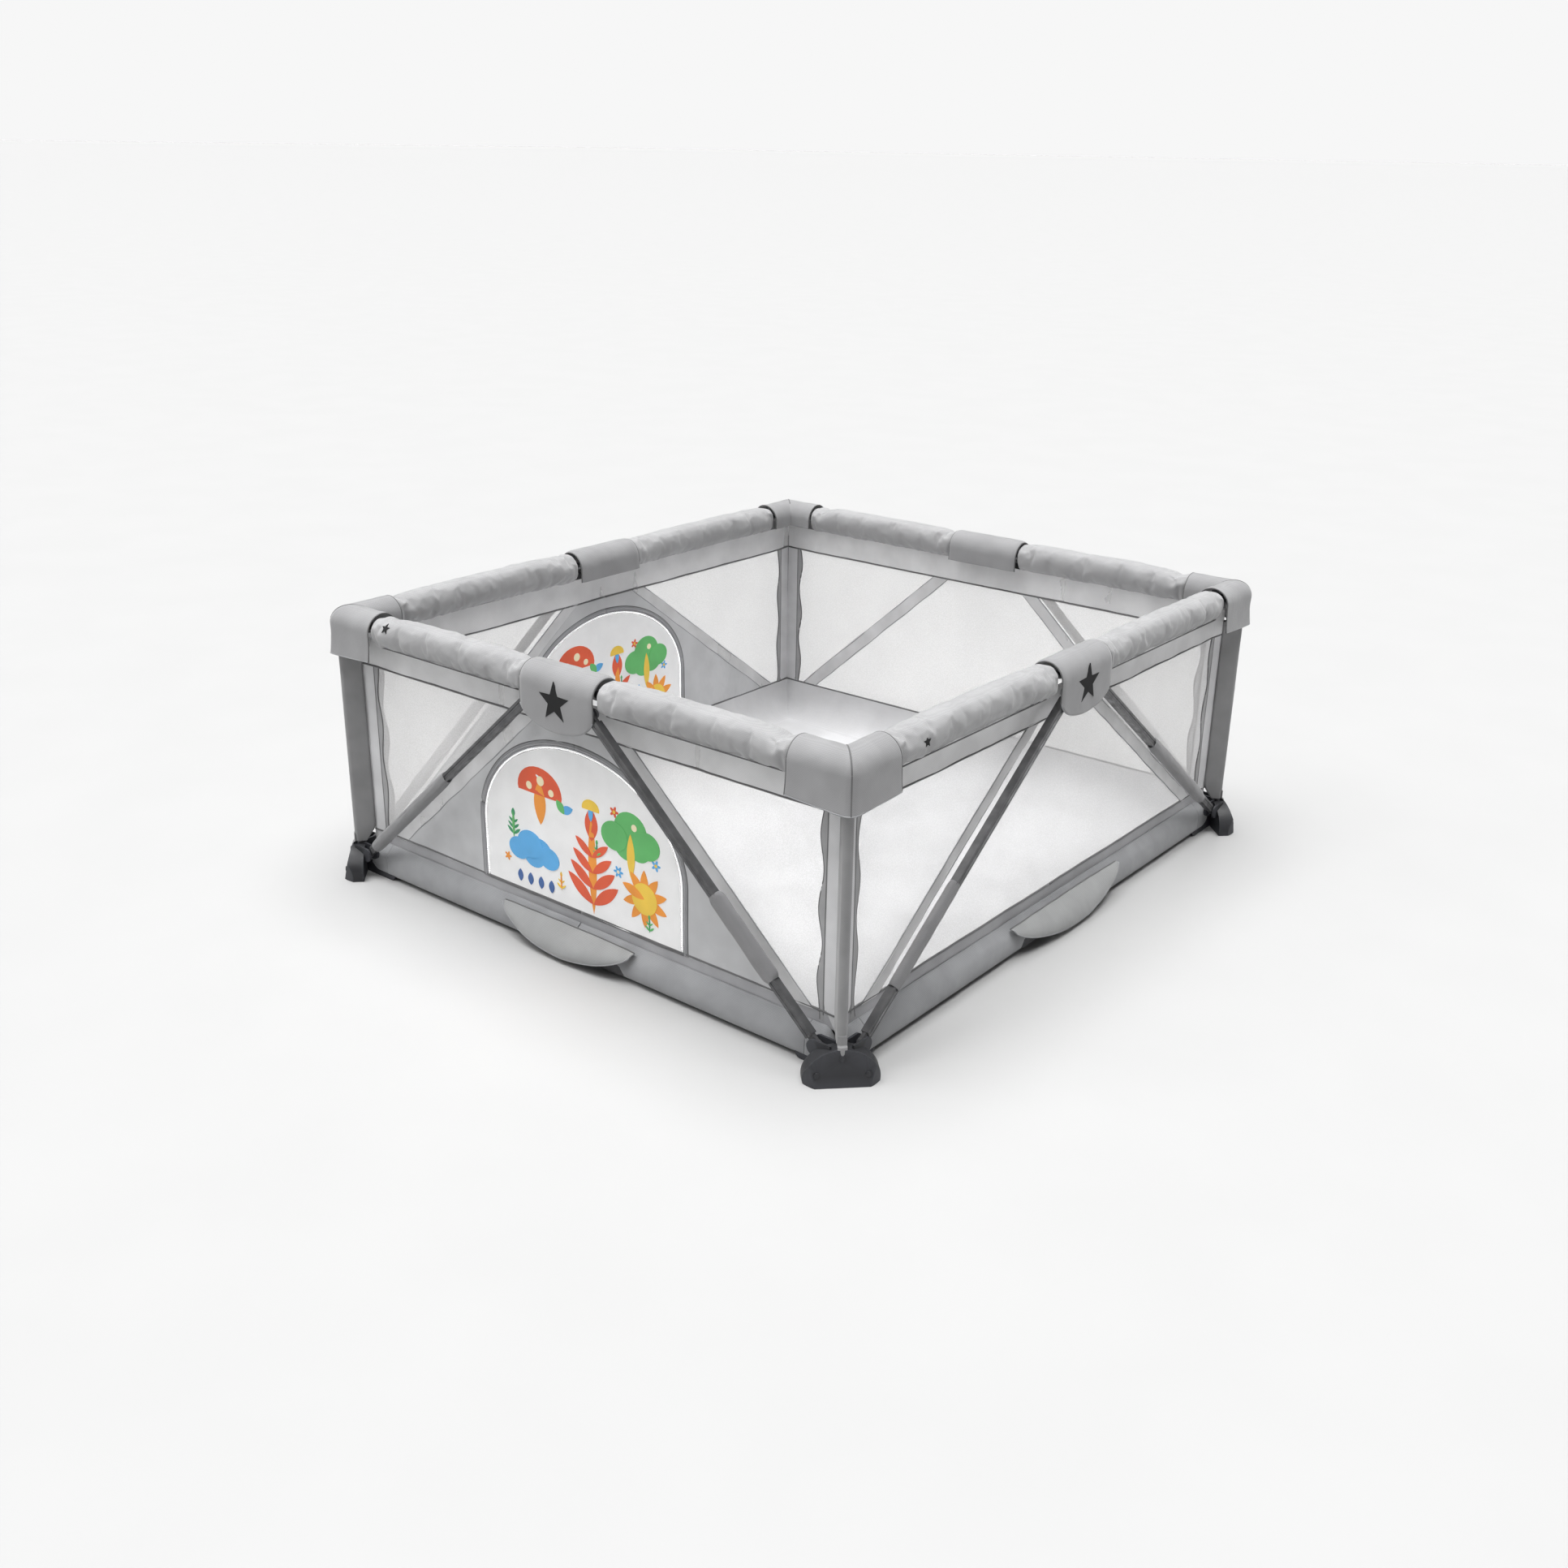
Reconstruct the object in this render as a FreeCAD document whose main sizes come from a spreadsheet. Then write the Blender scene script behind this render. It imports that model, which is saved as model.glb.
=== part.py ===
"""A folding playpen: four corner posts joined by hinged rails, with padded tops, net walls and a floor mat.

Millimetres, +Z up. The origin is on the floor below the middle of the pen. The front side faces -Y and
the right side +X. Each side is an umbrella linkage: two top rails meet at a hub, two bottom rails meet at
a lap joint, and two diagonal bars run from the feet up to the hub. The slider at the top of each post
carries the top rails and runs down the post as the pen folds.
"""
import FreeCAD, Part
import Sketcher
import os
import re

SIZES = {
    # the frame
    "half_width": 713,
    "half_depth": 800,
    "rail_height": 624,
    "rail_radius": 9,
    "post_radius": 8,
    "bar_radius": 8,
    "tube_wall": 1.5,
    "end_radius": 10,
    "tongue_length": 30,
    "plug_start": 24,
    "plug_length": 14,
    "pin_gap": 0.05,
    # distances of the pivots from a post's axis, or from the middle of a side
    "floor_pivot": 68,
    "floor_pivot_height": 20,
    "slider_pivot": 40,
    "hub_pivot": 28,
    "foot_bar_pivot": 30,
    "foot_bar_height": 60,
    "hub_bar_height": 590,
    "hub_bar_front": 90,
    "hub_bar_side": 58.9,
    # the feet: a post stands out from the corner of the walls by post_offset each way
    "post_offset": 20,
    "foot_height": 78,
    "foot_base": 5,
    "bracket_end": 82,
    "bracket_height": 32,
    "cheek_in": 9.8,
    "cheek_out": 13.6,
    "shield_half": 76,
    "shield_rise": 62,
    "shield_centre": 10,
    "shield_front": 62,
    "shield_front_top": 44,
    "shield_back": 14,
    "shield_bulge": 90,
    "jaw_low": 42,
    "jaw_height": 34,
    "jaw_inner": 15,
    "jaw_outer": 43,
    "jaw_wall": 5,
    "socket_radius": 14,
    "screw_radius": 4,
    "screw_head_radius": 7.5,
    "screw_head_height": 3,
    "cover_screw_radius": 3,
    "cover_screw_head": 6,
    "cover_screw_depth": 14,
    "cover_screw_spread": 50,
    "cover_screw_low": 25,
    "cover_screw_high": 56,
    # the sliders and hubs
    "slider_half_height": 22,
    "slider_gap": 0.35,
    "fork_start": 18,
    "ear_radius": 12,
    "ear_outer": 10.8,
    "ear_inner": 6.8,
    "tongue_half": 6.5,
    "joint_pin_radius": 3.5,
    "hub_half_height": 22,
    "hub_block": 14,
    "hub_plate_half": 22,
    "hub_plate_in": 15,
    "hub_plate_out": 20,
    "hub_plate_top": 636,
    # the diagonal bars
    "bar_plane": 29,
    "bar_end_half": 4,
    "rivet_radius": 5,
    "rivet_head_radius": 9,
    "rivet_gap": 0.4,
    # the lap joint in the middle of each bottom rail
    "lap_gap": 0.3,
    "lap_thickness": 6,
    "lap_length": 58,
    "lap_pin_out": 2.7,
    # soft parts
    "pad_radius": 38,
    "pad_start": 112,
    "pad_end": 113,
    "cover_half": 108,
    "cloth_radius": 43,
    "cloth_inner": 40,
    "cover_bottom": 584,
    "flap_bottom": 532,
    "flap_radius": 122,
    "cap_reach": 110,
    "cap_bottom": 556,
    "wall_outer": 12,
    "wall_inner": 13.5,
    "wall_bottom": 24,
    "wall_top": 586,
    "notch_reach": 100,
    "notch_top": 84,
    "door_half": 300,
    "door_rise": 231,
    "door_spring": 250,
    "door_bottom": 104,
    "zip_gap": 3,
    "mat_gap": 16,
    "mat_bottom": 2,
    "mat_top": 6,
    # cutting tools run past what they cut, and stacked solids overlap, by these
    "cut_past": 1,
    "cut_well_past": 5,
    "door_cut_past": 20,
    "pin_recess": 1,
    "stack_overlap": 4,
    "screw_sink": 1,
    "screw_stand": 2,
    "pad_gap": 0.2,
}

# where each corner stands, as signs of X and Y, and the turn that points its two arms along the sides
CORNERS = {
    "front_left": (-1, -1, 0),
    "front_right": (1, -1, 90),
    "back_right": (1, 1, 180),
    "back_left": (-1, 1, 270),
}

# each side: its direction out of the pen, its half length, and its two halves as (name, turn, out, leads).
# "out" says whether the half's own +Y points out of the pen, and the half that leads carries the lap pin
SIDES = {
    "front": ((0, -1), "half_width", (("left", 180, 1, False), ("right", 0, -1, True))),
    "right": ((1, 0), "half_depth", (("front", 270, 1, True), ("back", 90, -1, False))),
    "back": ((0, 1), "half_width", (("right", 0, 1, True), ("left", 180, -1, False))),
    "left": ((-1, 0), "half_depth", (("back", 90, 1, False), ("front", 270, -1, True))),
}
DOOR_SIDES = ("front", "left")

TURN_TO = {"x": ((0, 1, 0), 90), "y": ((1, 0, 0), -90), "z": ((0, 0, 1), 0)}

doc = FreeCAD.newDocument("playpen")
nodes = {}
made = {}


def fresh(name):
    """A name not used before in the document."""
    made[name] = made.get(name, 0) + 1
    return f"{name}_{made[name]}"


def bound(text):
    """An expression in which each size's name points at its cell."""
    return re.sub(r"[a-z]+(_[a-z]+)+", lambda name: f"Sizes.{name.group()}", text)


def write_sizes():
    """The spreadsheet of driving dimensions."""
    sheet = doc.addObject("Spreadsheet::Sheet", "Sizes")
    for row, (name, value) in enumerate(SIZES.items(), start=1):
        sheet.set(f"A{row}", name)
        sheet.set(f"B{row}", str(value))
        sheet.setAlias(f"B{row}", name)
    doc.recompute()


def bind(thing, sizes):
    """Tie an object's properties to expressions of the sizes."""
    for name, text in sizes.items():
        thing.setExpression(name, bound(text))


def bind_base(thing, x, y, z):
    bind(thing, {"Placement.Base.x": x, "Placement.Base.y": y, "Placement.Base.z": z})


def box(x, y, z):
    """A box between a low and a high expression on each axis."""
    made_box = doc.addObject("Part::Box", fresh("box"))
    low, high = zip(x, y, z)
    for side, a, b in zip(("Length", "Width", "Height"), low, high):
        bind(made_box, {side: f"({b}) - ({a})"})
    bind_base(made_box, *low)
    return made_box


def cylinder(radius, axis, start, length):
    """A cylinder along an axis, from its start point, with expressions for all its sizes."""
    rod = doc.addObject("Part::Cylinder", fresh("cylinder"))
    turn, angle = TURN_TO[axis]
    rod.Placement = FreeCAD.Placement(FreeCAD.Vector(), FreeCAD.Rotation(FreeCAD.Vector(*turn), angle))
    bind(rod, {"Radius": radius, "Height": length})
    bind_base(rod, *start)
    return rod


def fuse(parts, refine=True):
    """One solid from several, with the seams between flush faces taken out unless refine is off."""
    joined = doc.addObject("Part::MultiFuse", fresh("fuse"))
    joined.Shapes = parts
    joined.Refine = refine
    return joined


def cut(base, tool):
    left = doc.addObject("Part::Cut", fresh("cut"))
    left.Base = base
    left.Tool = tool
    return left


def common(one, other):
    shared = doc.addObject("Part::MultiCommon", fresh("common"))
    shared.Shapes = [one, other]
    return shared


def group(parts):
    """Separate solids kept side by side in one object."""
    kept = doc.addObject("Part::Compound", fresh("group"))
    kept.Links = parts
    return kept


def mirror_diagonal(thing):
    """A corner piece's other arm, reflected in the vertical plane through X = Y."""
    other = doc.addObject("Part::Mirroring", fresh("mirror"))
    other.Source = thing
    other.Normal = FreeCAD.Vector(1, -1, 0)
    return other


def tube(radius, axis, start, length):
    """A round tube of the frame's wall thickness."""
    inner = cylinder(f"{radius} - tube_wall", axis, start, length)
    return cut(cylinder(radius, axis, start, length), inner)


def finish(node, thing, x="0", y="0", turn=0):
    """Put a finished sub-part in its place and name it."""
    spin = FreeCAD.Rotation(FreeCAD.Vector(0, 0, 1), turn)
    thing.Placement = FreeCAD.Placement(FreeCAD.Vector(), spin)
    bind_base(thing, x, y, "0")
    thing.Label = node
    nodes[node] = thing


def at_corner(node, thing, corner):
    x_sign, y_sign, turn = CORNERS[corner]
    finish(node, thing, f"{x_sign} * half_width", f"{y_sign} * half_depth", turn)


def at_side(node, thing, side, turn):
    (x_out, y_out), _, _ = SIDES[side]
    finish(node, thing, f"{x_out} * half_width", f"{y_out} * half_depth", turn)


def outward(out, low, high):
    """A range of Y that is measured outwards, for a half whose own +Y points out or in."""
    return (low, high) if out > 0 else (f"-({high})", f"-({low})")


# ---- corner pieces: drawn with arms along +X and +Y, and out of the pen towards -X and -Y ----


def diagonal_frame(thing, out, lateral, height):
    """Turn a piece so its +X points into the pen across the corner, and stand it at a place on the foot."""
    thing.Placement = FreeCAD.Placement(
        FreeCAD.Vector(), FreeCAD.Rotation(FreeCAD.Vector(0, 0, 1), 45) * thing.Placement.Rotation
    )
    bind_base(thing, f"(({lateral}) - ({out})) * sqrt(0.5)", f"-(({lateral}) + ({out})) * sqrt(0.5)", height)
    return thing


def shield():
    """The broad rounded front of a foot, which leans back and is bowed in plan."""
    lean = doc.addObject("Part::Wedge", fresh("lean"))
    bind(lean, {
        "Xmin": "-shield_front", "Xmax": "-shield_back",
        "X2min": "-shield_front_top", "X2max": "-shield_back",
        "Ymin": "0", "Ymax": "foot_height",
        "Zmin": "-shield_half", "Zmax": "shield_half", "Z2min": "-shield_half", "Z2max": "shield_half",
    })
    lean.Placement = FreeCAD.Placement(FreeCAD.Vector(), FreeCAD.Rotation(FreeCAD.Vector(1, 0, 0), 90))
    outline = doc.addObject("Part::Ellipse", fresh("shield_outline"))
    bind(outline, {"MajorRadius": "shield_half", "MinorRadius": "shield_rise"})
    upright = FreeCAD.Rotation(FreeCAD.Vector(0, 0, 1), 90) * FreeCAD.Rotation(FreeCAD.Vector(1, 0, 0), 90)
    outline.Placement = FreeCAD.Placement(FreeCAD.Vector(), upright)
    bind_base(outline, "-shield_front - cut_past", "0", "shield_centre")
    face = doc.addObject("Part::Extrusion", fresh("shield_face"))
    face.Base = outline
    face.DirMode = "Custom"
    face.Dir = FreeCAD.Vector(1, 0, 0)
    face.Solid = True
    bind(face, {"LengthFwd": "shield_front"})
    bow = cylinder("shield_bulge", "z", ("shield_centre", "0", "0"), "foot_height")
    return diagonal_frame(common(common(lean, face), bow), "0", "0", "0")


def foot_arm():
    """One arm of a foot: a bracket for the bottom rail, and two jaws that hold the diagonal bar."""
    end = ("bracket_end", "-cheek_out", "bracket_height / 2")
    half = ("-cheek_out", "cheek_out")
    bracket = fuse([
        box(("-cheek_out", "bracket_end"), half, ("0", "bracket_height")),
        cylinder("bracket_height / 2", "y", end, "2 * cheek_out"),
    ])
    slot = box(("cheek_out + stack_overlap", "bracket_end + bracket_height"), ("-cheek_in", "cheek_in"),
               ("foot_base", "bracket_height + cut_past"))
    jaws = []
    for low, high in (("-jaw_outer", "jaw_wall - jaw_outer"), ("-jaw_inner - jaw_wall", "-jaw_inner")):
        along = ("-post_offset / 2", "foot_bar_pivot")
        jaws.append(box(along, (low, high), ("jaw_low", "jaw_low + jaw_height")))
        tip = ("foot_bar_pivot", low, "jaw_low + jaw_height / 2")
        jaws.append(cylinder("jaw_height / 2", "y", tip, "jaw_wall"))
    return fuse([cut(bracket, slot)] + jaws)


def pivot_screw():
    """The screw through a foot's bracket that the bottom rail turns on."""
    start = ("floor_pivot", "-cheek_out", "floor_pivot_height")
    return cylinder("screw_radius", "y", start, "2 * cheek_out")


def bar_rivet():
    """The rivet through the jaws that holds the foot of a diagonal bar."""
    start = ("foot_bar_pivot", "-jaw_outer", "foot_bar_height")
    return cylinder("screw_radius", "y", start, "jaw_outer - jaw_inner")


def cover_screw(lateral, height):
    """One of the screws on the front of a foot's shield."""
    face = f"(shield_front - (shield_front - shield_front_top) * ({height}) / foot_height)"
    shank = cylinder("cover_screw_radius", "x", ("0", "0", "0"), "cover_screw_depth")
    head = cylinder("cover_screw_head", "x", ("0", "0", "0"), "screw_head_height + screw_sink")
    return diagonal_frame(fuse([shank, head]), f"{face} + screw_stand", lateral, height)


def foot():
    """A moulded foot with the post's socket, two rail brackets, two pairs of jaws, and its screws."""
    arm = foot_arm()
    moulding = fuse([arm, mirror_diagonal(arm), shield()])
    bore = cylinder("post_radius", "z", ("-post_offset", "-post_offset", "foot_base"), "foot_height")
    screws = [pivot_screw(), bar_rivet()]
    screws += [mirror_diagonal(screw) for screw in screws]
    screws += [cover_screw(side, "cover_screw_low") for side in ("-cover_screw_spread", "cover_screw_spread")]
    screws.append(cover_screw("0", "cover_screw_high"))
    return group([cut(cut(moulding, bore), group(screws))] + screws)


def post():
    """A steel tube, padded from a sketch of its ring."""
    body = doc.addObject("PartDesign::Body", fresh("post_body"))
    ring = body.newObject("Sketcher::SketchObject", fresh("post_ring"))
    floor = next(f for f in body.Origin.OriginFeatures if f.Role == "XY_Plane")
    ring.AttachmentSupport = [(floor, "")]
    ring.MapMode = "FlatFace"
    for number, size in enumerate(("post_radius", "post_radius - tube_wall")):
        ring.addGeometry(Part.Circle(FreeCAD.Vector(), FreeCAD.Vector(0, 0, 1), 5 + number))
        ring.addConstraint(Sketcher.Constraint("Coincident", number, 3, -1, 1))
        radius = ring.addConstraint(Sketcher.Constraint("Radius", number, 5 + number))
        ring.setExpression(f"Constraints[{radius}]", bound(size))
    bind(ring, {"AttachmentOffset.Base.x": "-post_offset", "AttachmentOffset.Base.y": "-post_offset",
                "AttachmentOffset.Base.z": "foot_base"})
    pad = body.newObject("PartDesign::Pad", fresh("post_pad"))
    pad.Profile = ring
    bind(pad, {"Length": "rail_height + slider_half_height - stack_overlap - foot_base"})
    return body


def fork(radius, middle, pivot, slot_start):
    """Two ears with a pin between them, reaching from a middle out to a pivot along +X."""
    half = ("-ear_outer", "ear_outer")
    height = ("rail_height - ear_radius", "rail_height + ear_radius")
    ears = fuse([
        box((middle, pivot), half, height),
        cylinder(radius, "y", (pivot, "-ear_outer", "rail_height"), "2 * ear_outer"),
    ])
    slot = box((slot_start, f"{pivot} + {radius} + cut_past"), ("-ear_inner", "ear_inner"),
               ("rail_height - ear_radius - cut_past", "rail_height + ear_radius + cut_past"))
    pin = cylinder("joint_pin_radius", "y", (pivot, "-ear_outer", "rail_height"), "2 * ear_outer")
    return fuse([cut(ears, slot), pin])


def slider():
    """The collar that runs on a post, with a fork for each top rail."""
    one = fork("ear_radius", "-post_offset", "slider_pivot", "fork_start")
    height = "2 * slider_half_height"
    low = "rail_height - slider_half_height"
    collar = cylinder("socket_radius", "z", ("-post_offset", "-post_offset", low), height)
    bore_start = ("-post_offset", "-post_offset", f"{low} - cut_past")
    bore = cylinder("post_radius + slider_gap", "z", bore_start, f"{height} + 2 * cut_past")
    return cut(fuse([one, mirror_diagonal(one), collar]), bore)


def cloth_corner(radius, reach, bottom):
    """The outer or inner shape of a corner cap: two arched arms that meet at a square corner."""
    arms = []
    spans = []
    for axis in ("x", "y"):
        for shapes, start, span in ((arms, "0", reach), (spans, f"-{radius}", f"2 * {radius}")):
            along = (start, f"{start} + {span}")
            across = (f"-{radius}", radius)
            x, y = (along, across) if axis == "x" else (across, along)
            begin = (start, "0", "rail_height") if axis == "x" else ("0", start, "rail_height")
            shapes.append(fuse([cylinder(radius, axis, begin, span), box(x, y, (bottom, "rail_height"))]))
    return fuse(arms + [common(*spans)])


def corner_cap():
    """The cloth cap over a slider, open below and at the end of each arm."""
    outer = cloth_corner("cloth_radius", "cap_reach", "cap_bottom")
    inner = cloth_corner("cloth_inner", "cap_reach + cut_well_past", "cap_bottom - cut_well_past")
    return cut(outer, inner)


# ---- side pieces: drawn along +X from the middle of the side, with the rails' plane at Y = 0 ----


def rail_end(pivot, height, away, half):
    """A flat tongue from a pivot to the plug in a tube: "away" is +1 or -1, the way the tube lies."""
    far = f"{pivot} + {away} * tongue_length"
    along = (pivot, far) if away > 0 else (far, pivot)
    plug = f"{pivot} + plug_start" if away > 0 else f"{pivot} - plug_start - plug_length"
    return fuse([
        box(along, (f"-({half})", half), (f"{height} - rail_radius", f"{height} + rail_radius")),
        cylinder("end_radius", "y", (pivot, f"-({half})", height), f"2 * ({half})"),
        cylinder("rail_radius", "x", (plug, "0", height), "plug_length"),
    ])


def top_rail(length):
    """A steel tube between a slider's fork and a hub's fork."""
    outer_pivot = f"{length} - slider_pivot"
    start = ("hub_pivot + tongue_length", "0", "rail_height")
    solid = fuse([
        rail_end("hub_pivot", "rail_height", 1, "tongue_half"),
        rail_end(outer_pivot, "rail_height", -1, "tongue_half"),
        tube("rail_radius", "x", start, f"{outer_pivot} - hub_pivot - 2 * tongue_length"),
    ])
    holes = []
    for pivot in ("hub_pivot", outer_pivot):
        start = (pivot, "-tongue_half - cut_past", "rail_height")
        holes.append(cylinder("joint_pin_radius + pin_gap", "y", start, "2 * (tongue_half + cut_past)"))
    return cut(solid, group(holes))


def bottom_rail(length, leads):
    """A steel tube from a foot's bracket to the lap joint; the half that leads carries the joint's pin."""
    pivot = f"{length} - floor_pivot"
    height = "floor_pivot_height"
    flat = (f"{height} - rail_radius", f"{height} + rail_radius")
    tube_start = "lap_length + plug_length / 2"
    solids = [
        box(("0", tube_start), ("lap_gap", "lap_gap + lap_thickness"), flat),
        cylinder("end_radius", "y", ("0", "lap_gap", height), "lap_thickness"),
        cylinder("rail_radius", "x", ("lap_length", "0", height), "plug_length"),
        tube("rail_radius", "x", (tube_start, "0", height), f"{pivot} - ({tube_start}) - tongue_length"),
        rail_end(pivot, height, -1, "rail_radius - pin_recess"),
    ]
    hole = "screw_radius + pin_gap"
    holes = [cylinder(hole, "y", (pivot, "-rail_radius", height), "2 * rail_radius")]
    if leads:
        inner = "lap_gap + lap_thickness + lap_pin_out"
        start = ("0", f"-({inner})", height)
        solids.append(cylinder("screw_radius", "y", start, f"{inner} + lap_thickness"))
        solids.append(cylinder("screw_head_radius", "y", start, "lap_pin_out - lap_gap"))
    else:
        holes.append(cylinder(hole, "y", ("0", "0", height), "rail_radius"))
    return cut(fuse(solids), group(holes))


def diagonal(length, pin_out, out):
    """A bar from a foot's rivet up to a hub, drawn along its own +X and then leaned into place."""
    run = f"({length} - foot_bar_pivot - {pin_out})"
    rise = "(hub_bar_height - foot_bar_height)"
    reach = f"sqrt({run} ^ 2 + {rise} ^ 2)"
    half = "bar_end_half"
    hub_face, rivet_end = outward(out, "hub_plate_out + rivet_gap - bar_plane", "bar_radius - pin_recess")
    head_low, head_high = outward(out, half, "bar_radius - pin_recess")
    solids = [
        tube("bar_radius", "x", ("tongue_length", "0", "0"), f"{reach} - 2 * tongue_length"),
        cylinder("rivet_radius", "y", (reach, hub_face, "0"), f"({rivet_end}) - ({hub_face})"),
        cylinder("rivet_head_radius", "y", (reach, head_low, "0"), f"({head_high}) - ({head_low})"),
    ]
    for pivot, low, high, plug in (
        ("0", "0", "tongue_length", "plug_start"),
        (reach, f"{reach} - tongue_length", reach, f"{reach} - plug_start - plug_length"),
    ):
        solids.append(box((low, high), (f"-{half}", half), ("-bar_radius", "bar_radius")))
        solids.append(cylinder("end_radius", "y", (pivot, f"-{half}", "0"), f"2 * {half}"))
        solids.append(cylinder("bar_radius", "x", (plug, "0", "0"), "plug_length"))
    eye = cylinder("screw_radius + pin_gap", "y", ("0", "-bar_plane", "0"), "2 * bar_plane")
    bar = cut(fuse(solids), eye)
    bar.Placement = FreeCAD.Placement(FreeCAD.Vector(), FreeCAD.Rotation(FreeCAD.Vector(0, 1, 0), 180))
    bind(bar, {"Placement.Rotation.Angle": f"180 deg + atan({rise} / {run})"})
    bind_base(bar, f"{length} - foot_bar_pivot", f"{out} * bar_plane", "foot_bar_height")
    return group([bar])


def hub(pin_out):
    """The folding block in the middle of a top rail, with a fork each way and a plate for the bars."""
    one = fork("ear_radius", "hub_block - stack_overlap", "hub_pivot", "hub_block")
    other = doc.addObject("Part::Mirroring", fresh("mirror"))
    other.Source = one
    other.Normal = FreeCAD.Vector(1, 0, 0)
    block = ("-hub_block", "hub_block")
    depth = ("hub_plate_in", "hub_plate_out")
    low = "hub_bar_height - end_radius"
    middle = ("rail_height - hub_half_height", "rail_height + hub_half_height")
    solids = [
        one, other,
        box(block, ("-ear_outer", "ear_outer"), middle),
        box(block, ("ear_outer", "hub_plate_in"), (low, "hub_plate_top")),
        box(("-hub_plate_half", "hub_plate_half"), depth, (low, "hub_plate_top")),
        box((f"-{pin_out}", pin_out), depth, (low, "hub_bar_height + end_radius")),
    ]
    for end in (f"-{pin_out}", pin_out):
        start = (end, "hub_plate_in", "hub_bar_height")
        solids.append(cylinder("end_radius", "y", start, "hub_plate_out - hub_plate_in"))
    return fuse(solids, refine=False)


def rail_pad(length):
    """The foam sleeve on a top rail."""
    start = ("pad_start", "0", "rail_height")
    span = f"{length} - pad_end - pad_start"
    return cut(cylinder("pad_radius", "x", start, span), cylinder("rail_radius + pad_gap", "x", start, span))


def arch(radius, bottom, half):
    """A rounded-top solid along the side, for the outside or the inside of a hub cover."""
    top = cylinder(radius, "x", (f"-({half})", "0", "rail_height"), f"2 * ({half})")
    return fuse([top, box((f"-({half})", half), (f"-{radius}", radius), (bottom, "rail_height"))])


def hub_cover():
    """The cloth cover over a hub, open below and at both ends, with a rounded flap on its outer face."""
    inside = arch("cloth_inner", "cover_bottom - cut_well_past", "cover_half + cut_well_past")
    shell = cut(arch("cloth_radius", "cover_bottom", "cover_half"), inside)
    centre = ("0", "cloth_inner", "flap_bottom + flap_radius")
    disc = cylinder("flap_radius", "y", centre, "cloth_radius - cloth_inner")
    flap = ("-flap_radius", "flap_radius")
    below = box(flap, ("cloth_inner", "cloth_radius"), ("flap_bottom", "cover_bottom"))
    return fuse([shell, common(disc, below)])


# ---- cloth between the posts ----


def door_shape(grow, low, high):
    """An upright arch for a door or its opening, drawn at the side's middle between two Y planes."""
    outline = doc.addObject("Part::Ellipse", fresh("arch_outline"))
    bind(outline, {"MajorRadius": f"door_half + {grow}", "MinorRadius": f"door_rise + {grow}"})
    outline.Placement = FreeCAD.Placement(FreeCAD.Vector(), FreeCAD.Rotation(FreeCAD.Vector(1, 0, 0), 90))
    bind_base(outline, "0", high, "door_spring")
    disc = doc.addObject("Part::Extrusion", fresh("arch_disc"))
    disc.Base = outline
    disc.DirMode = "Custom"
    disc.Dir = FreeCAD.Vector(0, -1, 0)
    disc.Solid = True
    bind(disc, {"LengthFwd": f"({high}) - ({low})"})
    across = (f"-(door_half + {grow})", f"door_half + {grow}")
    crown = common(disc, box(across, (low, high), ("door_spring", "door_spring + door_rise + door_cut_past")))
    return fuse([crown, box(across, (low, high), (f"door_bottom - {grow}", "door_spring"))])


def door(node, side):
    """The arched cloth panel that zips into a wall."""
    turn = SIDES[side][2][0][1]
    panel = door_shape("0", "-wall_inner", "-wall_outer")
    at_side(node, group([panel]), side, turn)


def wall_ring():
    """The four net walls, sewn into one ring, notched round the feet and cut out for the doors."""
    def block(gap, low, high):
        return box((f"-(half_width - {gap})", f"half_width - {gap}"),
                   (f"-(half_depth - {gap})", f"half_depth - {gap}"), (low, high))

    hollow = block("wall_inner", "0", "wall_top + cut_well_past")
    ring = cut(block("wall_outer", "wall_bottom", "wall_top"), hollow)
    cuts = []
    for x_sign, y_sign, _ in CORNERS.values():
        notch = box(("-notch_reach", "notch_reach"), ("-notch_reach", "notch_reach"), ("0", "notch_top"))
        bind_base(notch, f"{x_sign} * half_width - notch_reach", f"{y_sign} * half_depth - notch_reach", "0")
        cuts.append(notch)
    for side in DOOR_SIDES:
        (x_out, y_out), _, halves = SIDES[side]
        opening = group([door_shape("zip_gap", "-wall_inner - cut_well_past", "-wall_outer + cut_well_past")])
        opening.Placement = FreeCAD.Placement(
            FreeCAD.Vector(), FreeCAD.Rotation(FreeCAD.Vector(0, 0, 1), halves[0][1])
        )
        bind_base(opening, f"{x_out} * half_width", f"{y_out} * half_depth", "0")
        cuts.append(opening)
    return cut(ring, group(cuts))


def floor_mat():
    """The padded floor, a slab with rounded upright edges."""
    body = doc.addObject("PartDesign::Body", "floor_mat_body")
    slab = body.newObject("PartDesign::AdditiveBox", "mat_slab")
    bind(slab, {"Length": "2 * (half_width - mat_gap)", "Width": "2 * (half_depth - mat_gap)",
                "Height": "mat_top - mat_bottom"})
    bind(slab, {"AttachmentOffset.Base.x": "-(half_width - mat_gap)",
                "AttachmentOffset.Base.y": "-(half_depth - mat_gap)",
                "AttachmentOffset.Base.z": "mat_bottom"})
    floor = next(f for f in body.Origin.OriginFeatures if f.Role == "XY_Plane")
    slab.AttachmentSupport = [(floor, "")]
    slab.MapMode = "FlatFace"
    return body


def build_corners():
    for corner in CORNERS:
        at_corner(f"foot_{corner}", foot(), corner)
        at_corner(f"post_{corner}", post(), corner)
        at_corner(f"slider_{corner}", slider(), corner)
        at_corner(f"corner_cap_{corner}", corner_cap(), corner)


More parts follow.
